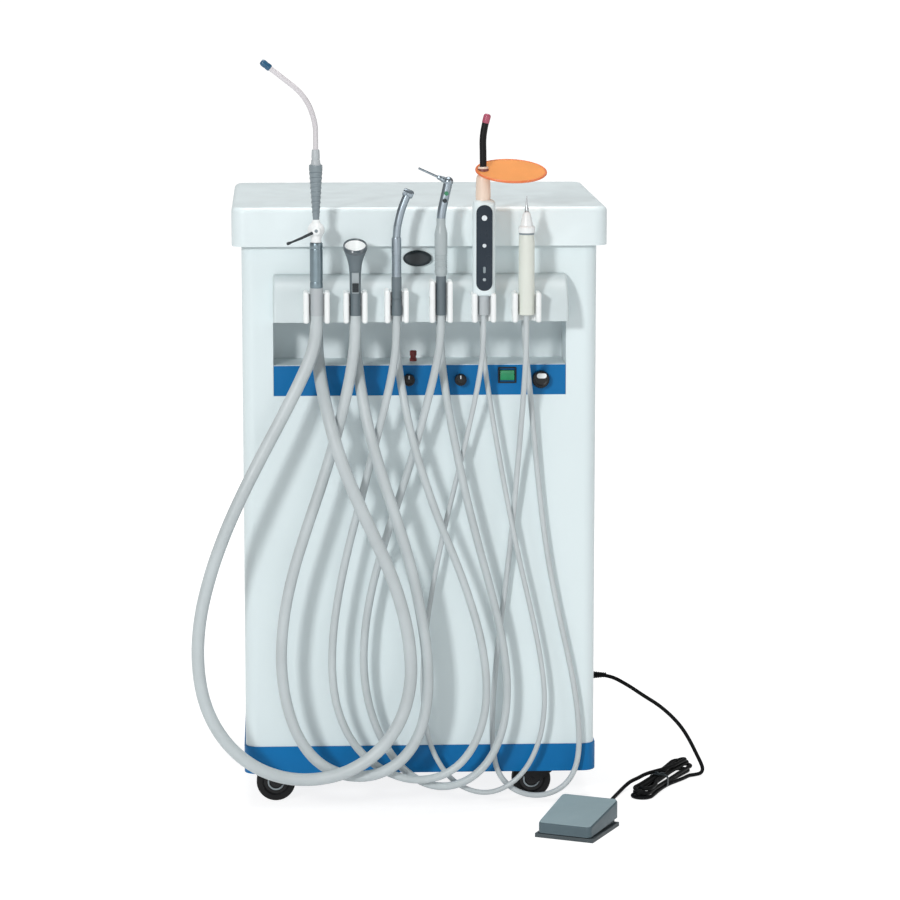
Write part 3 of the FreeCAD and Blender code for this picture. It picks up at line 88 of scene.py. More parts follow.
def shade(red, green, blue):
    """A colour from its 0-255 values, as the linear colour that a shader wants."""
    def linear(value):
        value /= 255
        return value / 12.92 if value <= 0.04045 else ((value + 0.055) / 1.055) ** 2.4
    return linear(red), linear(green), linear(blue), 1


def tint(colour, factor):
    """A colour made lighter or darker."""
    return tuple(min(1, c * factor) for c in colour[:3]) + (1,)


def fill(tree, node, values):
    """Sets a node's inputs, or links them to another node's outputs."""
    for key, value in values.items():
        if isinstance(value, bpy.types.NodeSocket):
            tree.links.new(value, node.inputs[key])
        else:
            node.inputs[key].default_value = value
    return node


def add_node(tree, kind, values=None, **settings):
    """A new shader node with its inputs and settings."""
    node = tree.nodes.new(f"ShaderNode{kind}")
    for field, value in settings.items():
        setattr(node, field, value)
    return fill(tree, node, values or {})


def new_material(name, look, *details):
    """A new material, its shader's inputs as a look gives them."""
    material = bpy.data.materials.new(name)
    material.use_nodes = True
    tree = material.node_tree
    fill(tree, tree.nodes["Principled BSDF"], look(tree, *details))
    return material


def on_piece(tree):
    """Where a point is on the piece itself."""
    return add_node(tree, "TexCoord").outputs["Object"]


def grain(tree, scale, detail=3, stretch=(1, 1, 1)):
    """Noise that sits still on the piece, and may be stretched along an axis."""
    place = add_node(tree, "Mapping", {"Vector": on_piece(tree), "Scale": stretch}).outputs["Vector"]
    return add_node(tree, "TexNoise", {"Vector": place, "Scale": scale, "Detail": detail}).outputs["Fac"]


def blend_colours(tree, factor, dark, light, low=0.35, high=0.65):
    """A colour that runs from dark to light as a factor rises."""
    ramp = add_node(tree, "ValToRGB", {"Fac": factor})
    for stop, position, colour in zip(ramp.color_ramp.elements, (low, high), (dark, light)):
        stop.position = position
        stop.color = colour
    return ramp.outputs["Color"]


def ranged(tree, factor, low, high):
    """A number that runs from low to high as a factor rises."""
    limits = {"Value": factor, "From Min": 0.3, "From Max": 0.7, "To Min": low, "To Max": high}
    return add_node(tree, "MapRange", limits).outputs["Result"]


def bumped(tree, height, strength, distance):
    """A normal that follows a height."""
    values = {"Height": height, "Strength": strength, "Distance": distance}
    return add_node(tree, "Bump", values).outputs["Normal"]


def moulded(tree, colour, roughness=0.4, variation=0.04, texture=700, depth=0.12, coat=0.0, gloss=0.5):
    """Moulded plastic: faint cloudiness in its colour and gloss, and a fine moulded texture."""
    cloud = grain(tree, 9, 4)
    return {
        "Base Color": blend_colours(tree, cloud, tint(colour, 1 - variation), tint(colour, 1 + variation)),
        "Roughness": ranged(tree, grain(tree, 45), roughness - 0.06, roughness + 0.08),
        "Normal": bumped(tree, grain(tree, texture, 2), depth, 0.0004),
        "Coat Weight": coat,
        "Specular IOR Level": gloss,
    }


def painted(tree, colour, roughness=0.34):
    """Powder paint on sheet steel: a soft orange peel and faint rubbed patches."""
    return {
        "Base Color": blend_colours(tree, grain(tree, 3, 2), tint(colour, 0.985), tint(colour, 1.015)),
        "Roughness": ranged(tree, grain(tree, 30, 3), roughness - 0.02, roughness + 0.03),
        "Normal": bumped(tree, grain(tree, 260, 2), 0.1, 0.0006),
        "Coat Weight": 0.15,
        "Coat Roughness": 0.2,
    }


def metal(tree, colour, roughness, stretch, scale):
    """Bare metal, its brush or turning marks stretched along one axis."""
    marks = grain(tree, scale, 3, stretch)
    return {
        "Base Color": blend_colours(tree, marks, tint(colour, 0.93), colour),
        "Roughness": ranged(tree, marks, roughness - 0.03, roughness + 0.04),
        "Metallic": 0.9,
    }


def cast_metal(tree, colour, roughness):
    """Cast or zinc-plated metal with a spangled, pitted skin."""
    spangle = add_node(tree, "TexVoronoi", {"Vector": on_piece(tree), "Scale": 420}).outputs["Distance"]
    return {
        "Base Color": blend_colours(tree, spangle, tint(colour, 0.78), colour, 0.1, 0.8),
        "Roughness": ranged(tree, grain(tree, 60, 5), roughness - 0.12, roughness + 0.12),
        "Normal": bumped(tree, grain(tree, 500, 4), 0.3, 0.0004),
        "Metallic": 0.85,
    }


def hose_skin(tree, colour, roughness=0.42):
    """Silicone hose: soft sheen, faint extrusion drift in its colour and a dusting of handling marks."""
    return {
        "Base Color": blend_colours(tree, grain(tree, 16, 5), tint(colour, 0.94), tint(colour, 1.05)),
        "Roughness": ranged(tree, grain(tree, 90, 5), roughness - 0.1, roughness + 0.12),
        "Normal": bumped(tree, grain(tree, 900, 3), 0.12, 0.0003),
        "Sheen Weight": 0.12,
        "Subsurface Weight": 0.05,
        "Subsurface Radius": (0.004, 0.004, 0.004),
    }


def clear(tree, colour, roughness, transmission, index=1.45):
    """Clear or tinted plastic with faint moulding streaks."""
    streaks = grain(tree, 40, 4, (1, 1, 0.2))
    return {
        "Base Color": blend_colours(tree, streaks, tint(colour, 0.94), colour),
        "Roughness": ranged(tree, streaks, roughness, roughness + 0.08),
        "Transmission Weight": transmission,
        "IOR": index,
    }


def lit(tree, colour, strength):
    """A lit lens that glows in its own colour, with a fine, slightly darker mottle."""
    colours = blend_colours(tree, grain(tree, 120, 2), tint(colour, 0.8), colour)
    return {
        "Base Color": colours, "Emission Color": colours, "Emission Strength": strength, "Roughness": 0.25
    }


FINISHES = {}
for name, look, colour, *details in (
    # After the colour comes what the look takes, in its order.
    ("white_paint", painted, (222, 234, 236)),
    ("white_plastic", moulded, (226, 237, 239), 0.36),
    # The hood's white is the lid's white plastic made darker: painted shade under the lid and between the
    # instruments.
    ("hood_white", moulded, (204, 215, 217), 0.36),
    ("bay_plastic", moulded, (230, 239, 241), 0.45),
    ("blue_plastic", moulded, (3, 106, 166), 0.42, 0.1, 700, 0.12, 0, 0.2),
    ("grey_plastic", moulded, (126, 138, 143), 0.36, 0.08),
    ("rim_grey", moulded, (80, 90, 96), 0.32, 0.1, 500, 0.1, 0.3),
    ("dull_grey", moulded, (98, 110, 116), 0.36, 0.08),
    ("dark_plastic", moulded, (40, 48, 52), 0.42, 0.12, 700, 0.12, 0, 0.35),
    ("black_knob", moulded, (16, 17, 19), 0.36, 0.2, 700, 0.12, 0, 0.3),
    ("grip_grey", moulded, (122, 134, 140), 0.34, 0.1, 500, 0.15, 0.3),
    ("syringe_grey", moulded, (168, 178, 180), 0.34, 0.05),
    ("tyre_grey", moulded, (16, 17, 18), 0.6, 0.2, 400, 0.3, 0, 0.25),
    ("cable_dark", moulded, (11, 12, 13), 0.5, 0.2, 900, 0.12, 0, 0.1),
    ("cream", moulded, (220, 224, 215), 0.34, 0.03),
    ("clear_tube", moulded, (208, 204, 207), 0.28, 0.05, 300, 0.04, 0.3),
    ("button_green", moulded, (38, 128, 86), 0.35, 0.1),
    ("black_glass", moulded, (38, 48, 58), 0.3, 0.08, 300, 0.02, 0, 0.15),
    ("shield_rim", moulded, (230, 120, 64), 0.3, 0.08, 400, 0.05, 0.3),
    # The dark brown of the shield's sleeve is painted shade; the pale collar above it is painted light on the
    # sleeve's top.
    ("sleeve_brown", moulded, (128, 62, 54), 0.35, 0.12),
    # The pedal's two colours are one blue-grey plastic: a lighter top as painted light and darker slate sides
    # as painted shade.
    ("pedal_grey", moulded, (136, 156, 162), 0.46, 0.06, 500, 0.3),
    ("pedal_slate", moulded, (82, 99, 106), 0.42, 0.08, 400, 0.2, 0, 0.3),
    ("pedal_base", moulded, (62, 72, 76), 0.55, 0.1, 400, 0.3),
    ("hose_cuff", moulded, (178, 184, 187), 0.4),
    ("soft_grey", moulded, (160, 170, 174), 0.38, 0.06),
    ("tip_blue", moulded, (34, 84, 116), 0.34, 0.1),
    ("pale_orange", moulded, (236, 214, 196), 0.34, 0.05),
    ("guide_black", moulded, (20, 19, 20), 0.4, 0.2, 300, 0.05, 0, 0.15),
    ("bright_white", moulded, (240, 243, 243), 0.3, 0.02),
    ("printed_red", moulded, (122, 44, 42), 0.4, 0.1),
    ("steel", metal, (176, 180, 182), 0.34, (1, 1, 14), 160),
    ("chrome", metal, (146, 157, 165), 0.3, (1, 1, 4), 40),
    ("ejector_dark", metal, (122, 137, 144), 0.34, (1, 1, 4), 40),
    ("cast", cast_metal, (120, 124, 126), 0.55),
    ("alloy", cast_metal, (190, 192, 192), 0.45),
    ("hose_grey", hose_skin, (188, 196, 198)),
    ("cord_grey", hose_skin, (192, 199, 201), 0.38),
    ("bottle", clear, (225, 235, 238), 0.25, 0.55),
    ("orange_shield", clear, (255, 174, 100), 0.12, 0.25, 1.4),
    ("tip_red", clear, (184, 88, 112), 0.2, 0.15),
    ("lit_green", lit, (34, 140, 92), 0.1),
    ("mark_white", lit, (214, 222, 226), 0.15),
):
    FINISHES[name] = new_material(name, look, shade(*colour), *details)

# ---- modelling helpers


def pick(piece):
    """Makes a piece the only one that is selected."""
    bpy.ops.object.select_all(action="DESELECT")
    piece.select_set(True)
    bpy.context.view_layer.objects.active = piece
    return piece


def named(name):
    """The piece that was made last, with its name."""
    bpy.context.object.name = name
    return bpy.context.object


def settle(piece):
    """Puts a piece's place, turn and size into its mesh, so that its object sits at the origin."""
    pick(piece)
    bpy.ops.object.transform_apply(location=True, rotation=True, scale=True)
    return piece


def turned(degrees, axis="Z"):
    """A turn about an axis."""
    return Matrix.Rotation(math.radians(degrees), 4, axis)


def put(piece, place, turn=Matrix()):
    """Turns a piece about the origin, then moves it to a place in millimetres."""
    piece.matrix_world = Matrix.Translation(Vector(place) * MM) @ turn
    return settle(piece)


def stand(piece, foot, toward=UP):
    """Stands a piece that was made on the Z axis at a point, its axis turned."""
    piece.rotation_mode = "QUATERNION"
    piece.rotation_quaternion = UP.rotation_difference(Vector(toward))
    piece.location = Vector(foot) * MM
    return settle(piece)


def open_for_edit(piece, kind, wanted):
    """Opens a piece in edit mode with only those edges or faces selected that the test picks."""
    pick(piece)
    bpy.ops.object.mode_set(mode="EDIT")
    bpy.ops.mesh.select_mode(type=kind)
    bpy.ops.mesh.select_all(action="DESELECT")
    bpy.ops.object.mode_set(mode="OBJECT")
    mesh = piece.data
    if kind == "EDGE":
        for edge in mesh.edges:
            edge.select = bool(wanted(*(mesh.vertices[i].co / MM for i in edge.vertices)))
    else:
        for face in mesh.polygons:
            face.select = bool(wanted(face.center / MM, face.normal))
    bpy.ops.object.mode_set(mode="EDIT")


def close_edit():
    bpy.ops.object.mode_set(mode="OBJECT")


def open_up(piece, wanted):
    """Removes the faces that the test picks."""
    open_for_edit(piece, "FACE", wanted)
    bpy.ops.mesh.delete(type="FACE")
    close_edit()


def round_edges(piece, radius, segments, wanted):
    """Bevels the edges that the test picks from their two ends, in millimetres."""
    open_for_edit(piece, "EDGE", wanted)
    bpy.ops.mesh.bevel(offset=radius * MM, segments=segments, affect="EDGES", clamp_overlap=True)
    close_edit()


def add_modifier(piece, kind, **settings):
    """Adds a modifier with its settings and applies it."""
    pick(piece)
    modifier = piece.modifiers.new(kind.title(), kind)
    for field, value in settings.items():
        setattr(modifier, field, value)
    bpy.ops.object.modifier_apply(modifier=modifier.name)
    return piece


def thicken(piece, thickness, offset=-1):
    """Gives a sheet its thickness, in millimetres."""
    return add_modifier(piece, "SOLIDIFY", thickness=thickness * MM, offset=offset)


def smooth(piece, degrees=32):
    """Smooth shading with crisp edges where faces meet at more than an angle."""
    pick(piece)
    bpy.ops.object.shade_smooth_by_angle(angle=math.radians(degrees))
    return piece


def ease(piece, radius, segments=2, degrees=40):
    """Takes the sharpness off a piece's hard edges."""
    add_modifier(
        piece, "BEVEL", width=radius * MM, segments=segments, limit_method="ANGLE",
        angle_limit=math.radians(degrees), use_clamp_overlap=True,
    )
    return smooth(piece)


def mend(piece):
    """Merges doubled points and turns every face outwards."""
    pick(piece)
    bpy.ops.object.mode_set(mode="EDIT")
    bpy.ops.mesh.select_all(action="SELECT")
    bpy.ops.mesh.remove_doubles(threshold=MERGE)
    bpy.ops.mesh.normals_make_consistent(inside=False)
    close_edit()
    return piece


def block(name, low, high):
    """A box between two corners, in millimetres."""
    low, high = Vector(low), Vector(high)
    bpy.ops.mesh.primitive_cube_add(size=1, location=(low + high) / 2 * MM)
    piece = named(name)
    piece.scale = (high - low) * MM
    return settle(piece)


def begin_line(name, start):
    """A single point to draw from, as a new piece in edit mode."""
    bpy.ops.object.select_all(action="DESELECT")
    bpy.ops.mesh.primitive_plane_add(size=0.001)
    piece = named(name)
    bpy.ops.object.mode_set(mode="EDIT")
    bpy.ops.mesh.select_mode(type="VERT")
    bpy.ops.mesh.select_all(action="SELECT")
    bpy.ops.mesh.merge(type="CENTER")
    bpy.ops.transform.translate(value=Vector(start) * MM)
    return piece


def draw_line(points):
    """Extrudes the selected point along the rest of a line, and selects all of it."""
    for here, there in zip(points, points[1:]):
        step = (Vector(there) - Vector(here)) * MM
        bpy.ops.mesh.extrude_region_move(TRANSFORM_OT_translate={"value": step})
    bpy.ops.mesh.select_all(action="SELECT")


def turn_on_lathe(name, profile, foot=(0, 0, 0), toward=UP, steps=48):
    """Spins a half profile of (radius, height) pairs about its axis and stands it in place.

    A profile that doesn't come back to its first pair is brought level to the axis at both ends.
    """
    if profile[0] != profile[-1]:
        start, end = ([(0, height)] if radius > 1e-6 else [] for radius, height in (profile[0], profile[-1]))
        profile = [*start, *profile, *end]
    points = [(radius, 0, height) for radius, height in profile]
    piece = begin_line(name, points[0])
    draw_line(points)
    bpy.ops.mesh.spin(steps=steps, angle=math.tau, center=(0, 0, 0), axis=(0, 0, 1))
    close_edit()
    mend(piece)
    return stand(smooth(piece, 38), foot, toward)


def cut_sheet(name, outline, push):
    """A closed outline of points filled and extruded along a vector."""
    piece = begin_line(name, outline[0])
    draw_line(outline)
    bpy.ops.mesh.edge_face_add()
    bpy.ops.mesh.extrude_region_move(TRANSFORM_OT_translate={"value": Vector(push) * MM})
    close_edit()
    return mend(piece)


def drill(radius, length, foot, toward, sides=32):
    """A round cutter."""
    return turn_on_lathe("cutter", [(radius, 0), (radius, length)], foot, toward, sides)


def subtract(piece, *cutters):
    """Cuts other pieces out of a piece and removes them."""
    for cutter in cutters:
        add_modifier(piece, "BOOLEAN", operation="DIFFERENCE", solver="EXACT", object=cutter)
        bpy.data.objects.remove(cutter)
    return piece


def join(name, *pieces):
    """Joins pieces into one."""
    bpy.ops.object.select_all(action="DESELECT")
    for piece in pieces:
        piece.select_set(True)
    bpy.context.view_layer.objects.active = pieces[0]
    bpy.ops.object.join()
    pieces[0].name = name
    return pieces[0]


def twin(piece, name):
    """A copy with its own mesh."""
    pick(piece)
    bpy.ops.object.duplicate(linked=False)
    return named(name)


def metres(point):
    """A point of millimetres in metres."""
    return tuple(value / 1000 for value in point)


def smooth_line(name, points, diameter, resolution=12, roundness=6):
    """A round line on one smooth open curve through a run of control points, in millimetres."""
    line = bpy.data.curves.new(name, "CURVE")
    line.dimensions = "3D"
    spline = line.splines.new("NURBS")
    spline.points.add(len(points) - 1)
    for point, place in zip(spline.points, points):
        point.co = (*metres(place), 1)
    spline.order_u = 3
    spline.use_endpoint_u = True
    line.resolution_u = resolution
    line.bevel_depth = diameter / 2 * MM
    line.bevel_resolution = roundness
    line.use_fill_caps = True
    piece = bpy.data.objects.new(name, line)
    scene.collection.objects.link(piece)
    return piece


def tube_along(name, points, radius, resolution=8):
    """A round tube along a smooth line, made a mesh."""
    pick(smooth_line(name, points, 2 * radius, resolution, 8))
    bpy.ops.object.convert(target="MESH")
    return smooth(mend(named(name)), 40)


def complete(piece, finish, body="root", replaces=()):
    """Gives a piece its finish and its body, and hides the nodes that it stands for."""
    if piece.type == "MESH":
        add_modifier(piece, "WEIGHTED_NORMAL", weight=100, keep_sharp=True)
    piece.data.materials.clear()
    piece.data.materials.append(FINISHES[finish])
    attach(piece, body)
    if replaces:
        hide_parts(*replaces)
    return piece


# ---- cords

# Each line has its diameter, length, x at both ends and hanging plane, then its points from below the
# socket to below the instrument: (x, y, height), or (x, height) where it hangs in its plane.
ROUTES = {
    "ejector_hose": (16, 1375, EJECTOR_X, -270, [
        (-130, -207, 604), (-127.5, -216.5, 572), (-122, -237.5, 539), (-114, -259, 505), (-102, -268, 463),
        (-82, -271, 413), (-60, -270.5, 365), (-40, 320), (-25, 274), (-16, 228), (-14, 180), (-26, 132),
        (-53, 93), (-90, 67), (-131, 56), (-175, 58), (-216, 75), (-250, 107), (-273, 151), (-282, 204),
        (-279, 261), (-265, 319), (-245, 374), (-222, -268, 424), (-198, -264, 470), (-175, -258, 512),
        (-154, -250.5, 552), (-137, -246, 588), (-130, -245, 618),
    ]),
    "suction_hose": (14, 1289, SUCTION_X, -251, [
        (-82, -207, 604), (-79, -218, 572), (-74, -236, 537), (-66, -248, 496), (-52, -252, 446),
        (-34, -252, 391), (-16, 333), (-2, 270), (7, 207), (7, 150), (-4, 105), (-28, 72), (-62, 55),
        (-100, 56), (-134, 74), (-158, 108), (-172, 152), (-178, 203), (-174, 260), (-162, 317), (-144, 374),
        (-124, -248.5, 432), (-107.5, -244.5, 485), (-95, -243.5, 534), (-86, -244, 578), (-82, -245, 615),
    ]),
    "handpiece_hose": (10, 1312, HANDPIECE_X, -235, [
        (-31, -207, 604), (-28, -213, 572), (-21.5, -225, 530), (-11, -234, 480), (5, -236, 427),
        (23, -236, 376), (43, 328), (61, 278), (76, 224), (83, 170), (79, 121), (62, 80), (34, 53), (-4, 44),
        (-43, 54), (-77, 80), (-101, 118), (-113, 167), (-113, 229), (-104, 292), (-90, 355), (-73, 418),
        (-57, -235.5, 481), (-44, -239, 532), (-34.5, -243.5, 578), (-31, -245, 614),
    ]),
    "syringe_hose": (10, 1317, SYRINGE_X, -221, [
        (24, -207, 606), (27, -209, 571), (33, -214, 526), (43, -219, 473), (56, -221.5, 410),
        (72, -221.3, 346), (89, 284), (103, 225), (110, 166), (106, 112), (89, 68), (59, 39), (20, 31),
        (-18, 49), (-47, 87), (-66, 134), (-74, 187), (-71, 245), (-60, 303), (-43, 360), (-24, -221.2, 417),
        (-6, -222.5, 475), (8, -229, 530), (19, -239, 578), (24, -245, 613),
    ]),
    "light_cord": (6.5, 1323, LIGHT_X, -209, [
        (77, -207, 607), (80.5, -207.4, 571), (87, -208.2, 526), (97, -209.2, 466), (109, -209.6, 400),
        (123, -209.2, 330), (139.5, 260), (153, 195), (159, 136), (150, 80), (125, 38), (86, 18), (43, 32),
        (14, 74), (3, 125), (2, 184), (8, 248), (19, 314), (34, 384), (51, -210.5, 452), (65, -218, 516),
        (74.5, -233, 571), (77, -245, 612),
    ]),
    "scaler_hose": (7, 1318, SCALER_X, -199, [
        (130, -207, 607), (134, -206, 571), (139, -203.5, 526), (143.5, -200.5, 476), (149, 424),
        (155, -198.8, 368), (164, 309), (177, 245), (192, 180), (202, 117), (203, 60), (187, 27), (156, 13),
        (122, 19), (98, 43), (91, 83), (92, 142), (98, 210), (107, 282), (115, -200, 352), (121, -206.5, 428),
        (126, -221, 505), (129.5, -236, 566), (130, -245, 612),
    ]),
}


for node, (diameter, length, x, plane, run) in ROUTES.items():
    points = [(point[0], plane, point[1]) if len(point) == 2 else point for point in run]
    points = [(x, -207, 634), *points, (x, TOOL_Y, 640)]
    hose = smooth_line(f"{node}_line", points, diameter)
    complete(hose, "hose_grey" if diameter > 8 else "cord_grey", replaces=[node])

# The pedal's cable runs from its gland to the floor, through a tied hank and on to the pedal.
CABLE_START = [
    (235, -56, 140.5), (253, -56, 140.5), (279, -55, 126), (300, -53, 111), (320, -50.5, 98),
    (338, -47.5, 82), (353, -44.5, 64.5), (364.5, -41, 45), (373, -38.5, 27.5), (378.5, -39.5, 16.5),
    (381.3, -44.5, 8.5), (377.8, -51, 4.2), (369.4, -53.8, 3.2), (361, -56, 2.8),
]
CABLE_END = [
    (287.7, -112, 14), (278, -112.6, 10), (269.4, -121, 5.4), (261.6, -137, 3), (253.6, -159, 2.6),
    (246.2, -182, 2.8), (240, -205, 3.4), (235, -226, 4.6), (229, -243.5, 6), (221.5, -259.5, 6.5),
    (214.9, -273.1, 6.5),
]
HANK_TIE = Vector((316, -106, 0))
HANK_ALONG = Vector((0.4611, 0.8874, 0))
HANK_ACROSS = Vector((-0.8874, 0.4611, 0))
HANK_LAYER = 5.4
# Each turn: its place across the waist, its layer out and back, the half width, end and lean of its
# south loop, the half widths and ends of its north loop where it begins and ends, and that loop's lean.
HANK_TURNS = [
    (8.6, 0, 0, 12.4, 72, 0, 12.4, 7, 99, 93, 1),
    (2.9, 0, 1, 7, 66, 3, 7, 12.4, 101, 105, 4),
    (8.6, 1, 2, 9.5, 70.5, -0.5, 12.4, 7, 100, 94, 3),
    (2.9, 2, 2, 7, 64.5, -5, 7, 7, 91, 89.5, 3),
]
LOOP = (-84, -50, -17, 17, 50, 84)  # where a loop's control points stand round its end, in degrees


def loop_point(middle, half, lean, degrees, side):
    """A control point of a loop's round end, as (along, across)."""
    angle, grown = math.radians(degrees), half / 0.951
    return middle + side * grown * math.cos(angle), lean + grown * math.sin(angle)


def shoulder(half):
    """How wide a turn already is just before its loop."""
    return half * 0.9


def hank_points():
    """The hank's turns as (along, across, height) points in millimetres about its tie."""
    points = [(50, -16, 2.7), (32, -13, 2.7)]
    for count, turn in enumerate(HANK_TURNS):
        waist, out, back, south, south_end, south_lean, first, last, first_end, last_end, lean = turn
        following = HANK_TURNS[count + 1][1] if count + 1 < len(HANK_TURNS) else 3
        low, high, next_low = (2.65 + layer * HANK_LAYER for layer in (out, back, following))
        middle = south - south_end
        points += [(10, -waist, low), (-16, -waist, low), (middle + 16, south_lean - shoulder(south), low)]
        for step, degrees in enumerate(LOOP):
            share = step / 5
            share *= share * (3 - 2 * share)
            points.append((*loop_point(middle, south, south_lean, degrees, -1), low + (high - low) * share))
        points += [(middle + 16, south_lean + shoulder(south), high), (-16, waist, high), (10, waist, high)]
        points.append((first_end - first - 16, lean + shoulder(first), high))
        for step, degrees in enumerate(reversed(LOOP)):
            slow, quick = 1 - math.cos(step * math.pi / 10), math.sin(step * math.pi / 10)
            half = first + (last - first) * slow
            end = first_end + (last_end - first_end) * slow
            points.append((*loop_point(end - half, half, lean, degrees, 1), high + (next_low - high) * quick))
        points.append((last_end - last - 16, lean - shoulder(last), next_low))
    return points + [(48, -3, 18.9), (30, 1, 18.9), (14, 6, 18.9), (2, 12, 18.4), (-9, 18, 16.8)]


hank = []
for along, across, height in hank_points():
    place = HANK_TIE + HANK_ALONG * along + HANK_ACROSS * across
    hank.append((place.x, place.y, height))
cable = smooth_line("pedal_cable", CABLE_START + hank + CABLE_END, 5, 8, 4)
complete(cable, "cable_dark", replaces=["pedal_cable_upper", "pedal_cable_hank", "pedal_cable_lower"])

# ---- pieces kept in their own shape

CASTERS = {
    "front_left": (-185, -145), "front_right": (145, -145),
    "rear_left": (-185, 145), "rear_right": (145, 145),
}


def finish_node(node, finish, edge):
    """A merged copy of a node with eased edges and smooth curves, in its finish."""
    source = frame["nodes"][node]
    copy = source.copy()
    copy.data = source.data.copy()
    copy.parent = None
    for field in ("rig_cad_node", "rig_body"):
        if field in copy:
            del copy[field]
    copy.name = f"{node}_finished"
    scene.collection.objects.link(copy)
    pick(copy)
    bpy.ops.object.mode_set(mode="EDIT")
    bpy.ops.mesh.select_all(action="SELECT")
    bpy.ops.mesh.remove_doubles(threshold=MERGE)
    bpy.ops.mesh.dissolve_limited(angle_limit=math.radians(0.6))
    close_edit()
    if copy.data.has_custom_normals:
        bpy.ops.mesh.customdata_custom_splitnormals_clear()
    body = next(name for name, members in frame["record"]["behaviour"]["bodies"].items() if node in members)
    complete(ease(copy, edge), finish, body, [node])


for node, finish, edge in (
    ("cabinet_shell", "white_paint", 0.7), ("rear_panel", "white_paint", 0.5),
    ("base_tray", "blue_plastic", 0.9), ("hose_bay", "bay_plastic", 0.6),
    ("control_panel", "blue_plastic", 0.5), ("top_cover", "white_plastic", 0.8),
    ("lid_hinges", "steel", 0.4), ("power_rocker", "lit_green", 0.5),
    ("lid_latch", "dark_plastic", 0.4), ("hose_sockets", "soft_grey", 0.4), ("equipment_deck", "steel", 0.4),
    ("air_tank", "white_paint", 0.6), ("compressor_motor", "cast", 0.8), ("compressor_heads", "alloy", 0.8),
    ("cooling_fan", "dark_plastic", 0.4), ("bottles", "bottle", 0.6), ("power_supply", "steel", 0.8),
    ("valve_block", "alloy", 0.6), ("mains_inlet", "dark_plastic", 0.4),
    *((f"caster_fork_{corner}", "black_knob", 0.4) for corner in CASTERS),
    ("pedal_base", "pedal_base", 0.5), ("syringe_air_button", "button_green", 0.5),
    ("syringe_water_button", "dark_plastic", 0.5), ("handpiece_cap", "chrome", 0.4),
    ("light_button", "mark_white", 0.5),
):
    finish_node(node, finish, edge)

# ---- shared shapes


def arc(middle_height, radius, start, end, steps=14):
    """Points of (radius, height) on an arc about the axis, its angles in degrees from straight out."""
    angles = [math.radians(start + (end - start) * step / steps) for step in range(steps + 1)]
    return [(radius * math.cos(angle), middle_height + radius * math.sin(angle)) for angle in angles]


def ribs(low_radius, high_radius, low, high, count, rise):
    """Points of (radius, height) for soft ribs round a tapering grip."""
    points = []
    pitch = (high - low) / count
    for rib in range(count):
        base = low + rib * pitch
        radius = low_radius + (high_radius - low_radius) * rib / count
        points += [(radius, base), (radius, base + 0.3 * pitch), (radius + rise, base + 0.42 * pitch)]
        points += [(radius + rise, base + 0.78 * pitch), (radius, base + 0.9 * pitch)]
    return points + [(high_radius, high)]


def groove(radius, low, high, depth=0.4, ease=0.6):
    """Points of (radius, height) for a shallow groove round a turned piece."""
    return [(radius, low), (radius - depth, low + ease), (radius - depth, high - ease), (radius, high)]


def rounded_outline(half_width, low, high, radius, y, x=0, steps=6):
    """A rounded rectangle in an upright plane, as points."""
    corners = (
        (half_width - radius, high - radius, 0), (radius - half_width, high - radius, 90),
        (radius - half_width, low + radius, 180), (half_width - radius, low + radius, 270),
    )
    points = []
    for across, height, start in corners:
        for step in range(steps + 1):
            angle = math.radians(start + 90 * step / steps)
            points.append((x + across + radius * math.cos(angle), y, height + radius * math.sin(angle)))
    return points


def on_hook(name, profile, x, finish, body="root", replaces=()):
    """A turned piece on the upright axis of an instrument in its clip."""
    return complete(turn_on_lathe(name, profile, (x, TOOL_Y, 0)), finish, body, replaces)


def bent_tube(name, line, radius, resolution=8):
    """A tube in the plane of the instruments, through points of (x, height)."""
    return tube_along(name, [(x, TOOL_Y, z) for x, z in line], radius, resolution)


# ---- instrument holder


def instrument_hood():
    """The curved hood over the hose nuts: one moulded shell, open below, with softened ends."""
    half, depth, low, rise = 184, 45, 630, 56  # half its width, how far out, its lower edge and its height
    outline = [(-half, FACE_Y, low - 4)]
    for step in range(15):
        angle = math.radians(90 * step / 14)
        outline.append((-half, FACE_Y - depth * math.sin(angle), low + rise * math.cos(angle)))
    hood = cut_sheet("instrument_hood", outline, (2 * half, 0, 0))
    round_edges(
        hood, 4, 4,
        lambda a, b: abs(a.x - b.x) < 1e-3 and min(a.y, b.y) < FACE_Y - 0.5 and max(a.z, b.z) > low + 0.5,
    )
    open_up(hood, lambda middle, normal: normal.z < -0.95)
    # The hood and its socket rail take that darker white, which is painted shade.
    complete(smooth(thicken(hood, 3), 40), "hood_white", replaces=["instrument_holder"])
    rail = block("socket_rail", (-181.5, -225, 650), (181.5, -190, 654))
    complete(ease(rail, 0.8), "hood_white")


def tool_fork(name, x, slot, high):
    """A fork-shaped clip: a bridge with two slim round-ended fingers either side of a tool's tail."""
    bridge = block(name, (x - slot - 6, -243, 632), (x + slot + 6, -222, high - 3))
    subtract(bridge, drill(slot + 0.02, 80, (x, TOOL_Y, 610), UP, 48))
    fingers = []
    for low in (x - slot - 8, x + slot + 1.2):
        finger = block("finger", (low, -257, 631), (low + 6.8, -224, high))
        fingers.append(ease(finger, 3, 5))
    complete(smooth(join(name, bridge, *fingers), 45), "bright_white")


instrument_hood()
for name, x, slot, high in (
    ("ejector_fork", EJECTOR_X, 8.4, 670), ("suction_fork", SUCTION_X, 7, 670),
    ("handpiece_fork", HANDPIECE_X, 7, 672), ("syringe_fork", SYRINGE_X, 6.4, 683),
    ("light_fork", LIGHT_X, 7, 668), ("scaler_fork", SCALER_X, 10, 668),
):
    tool_fork(name, x, slot, high)
bay_floor = block("bay_floor", (-183.6, -187.5, 569.9), (183.6, -116.2, 570.7))
complete(ease(bay_floor, 0.3), "bay_plastic")

# ---- saliva ejector


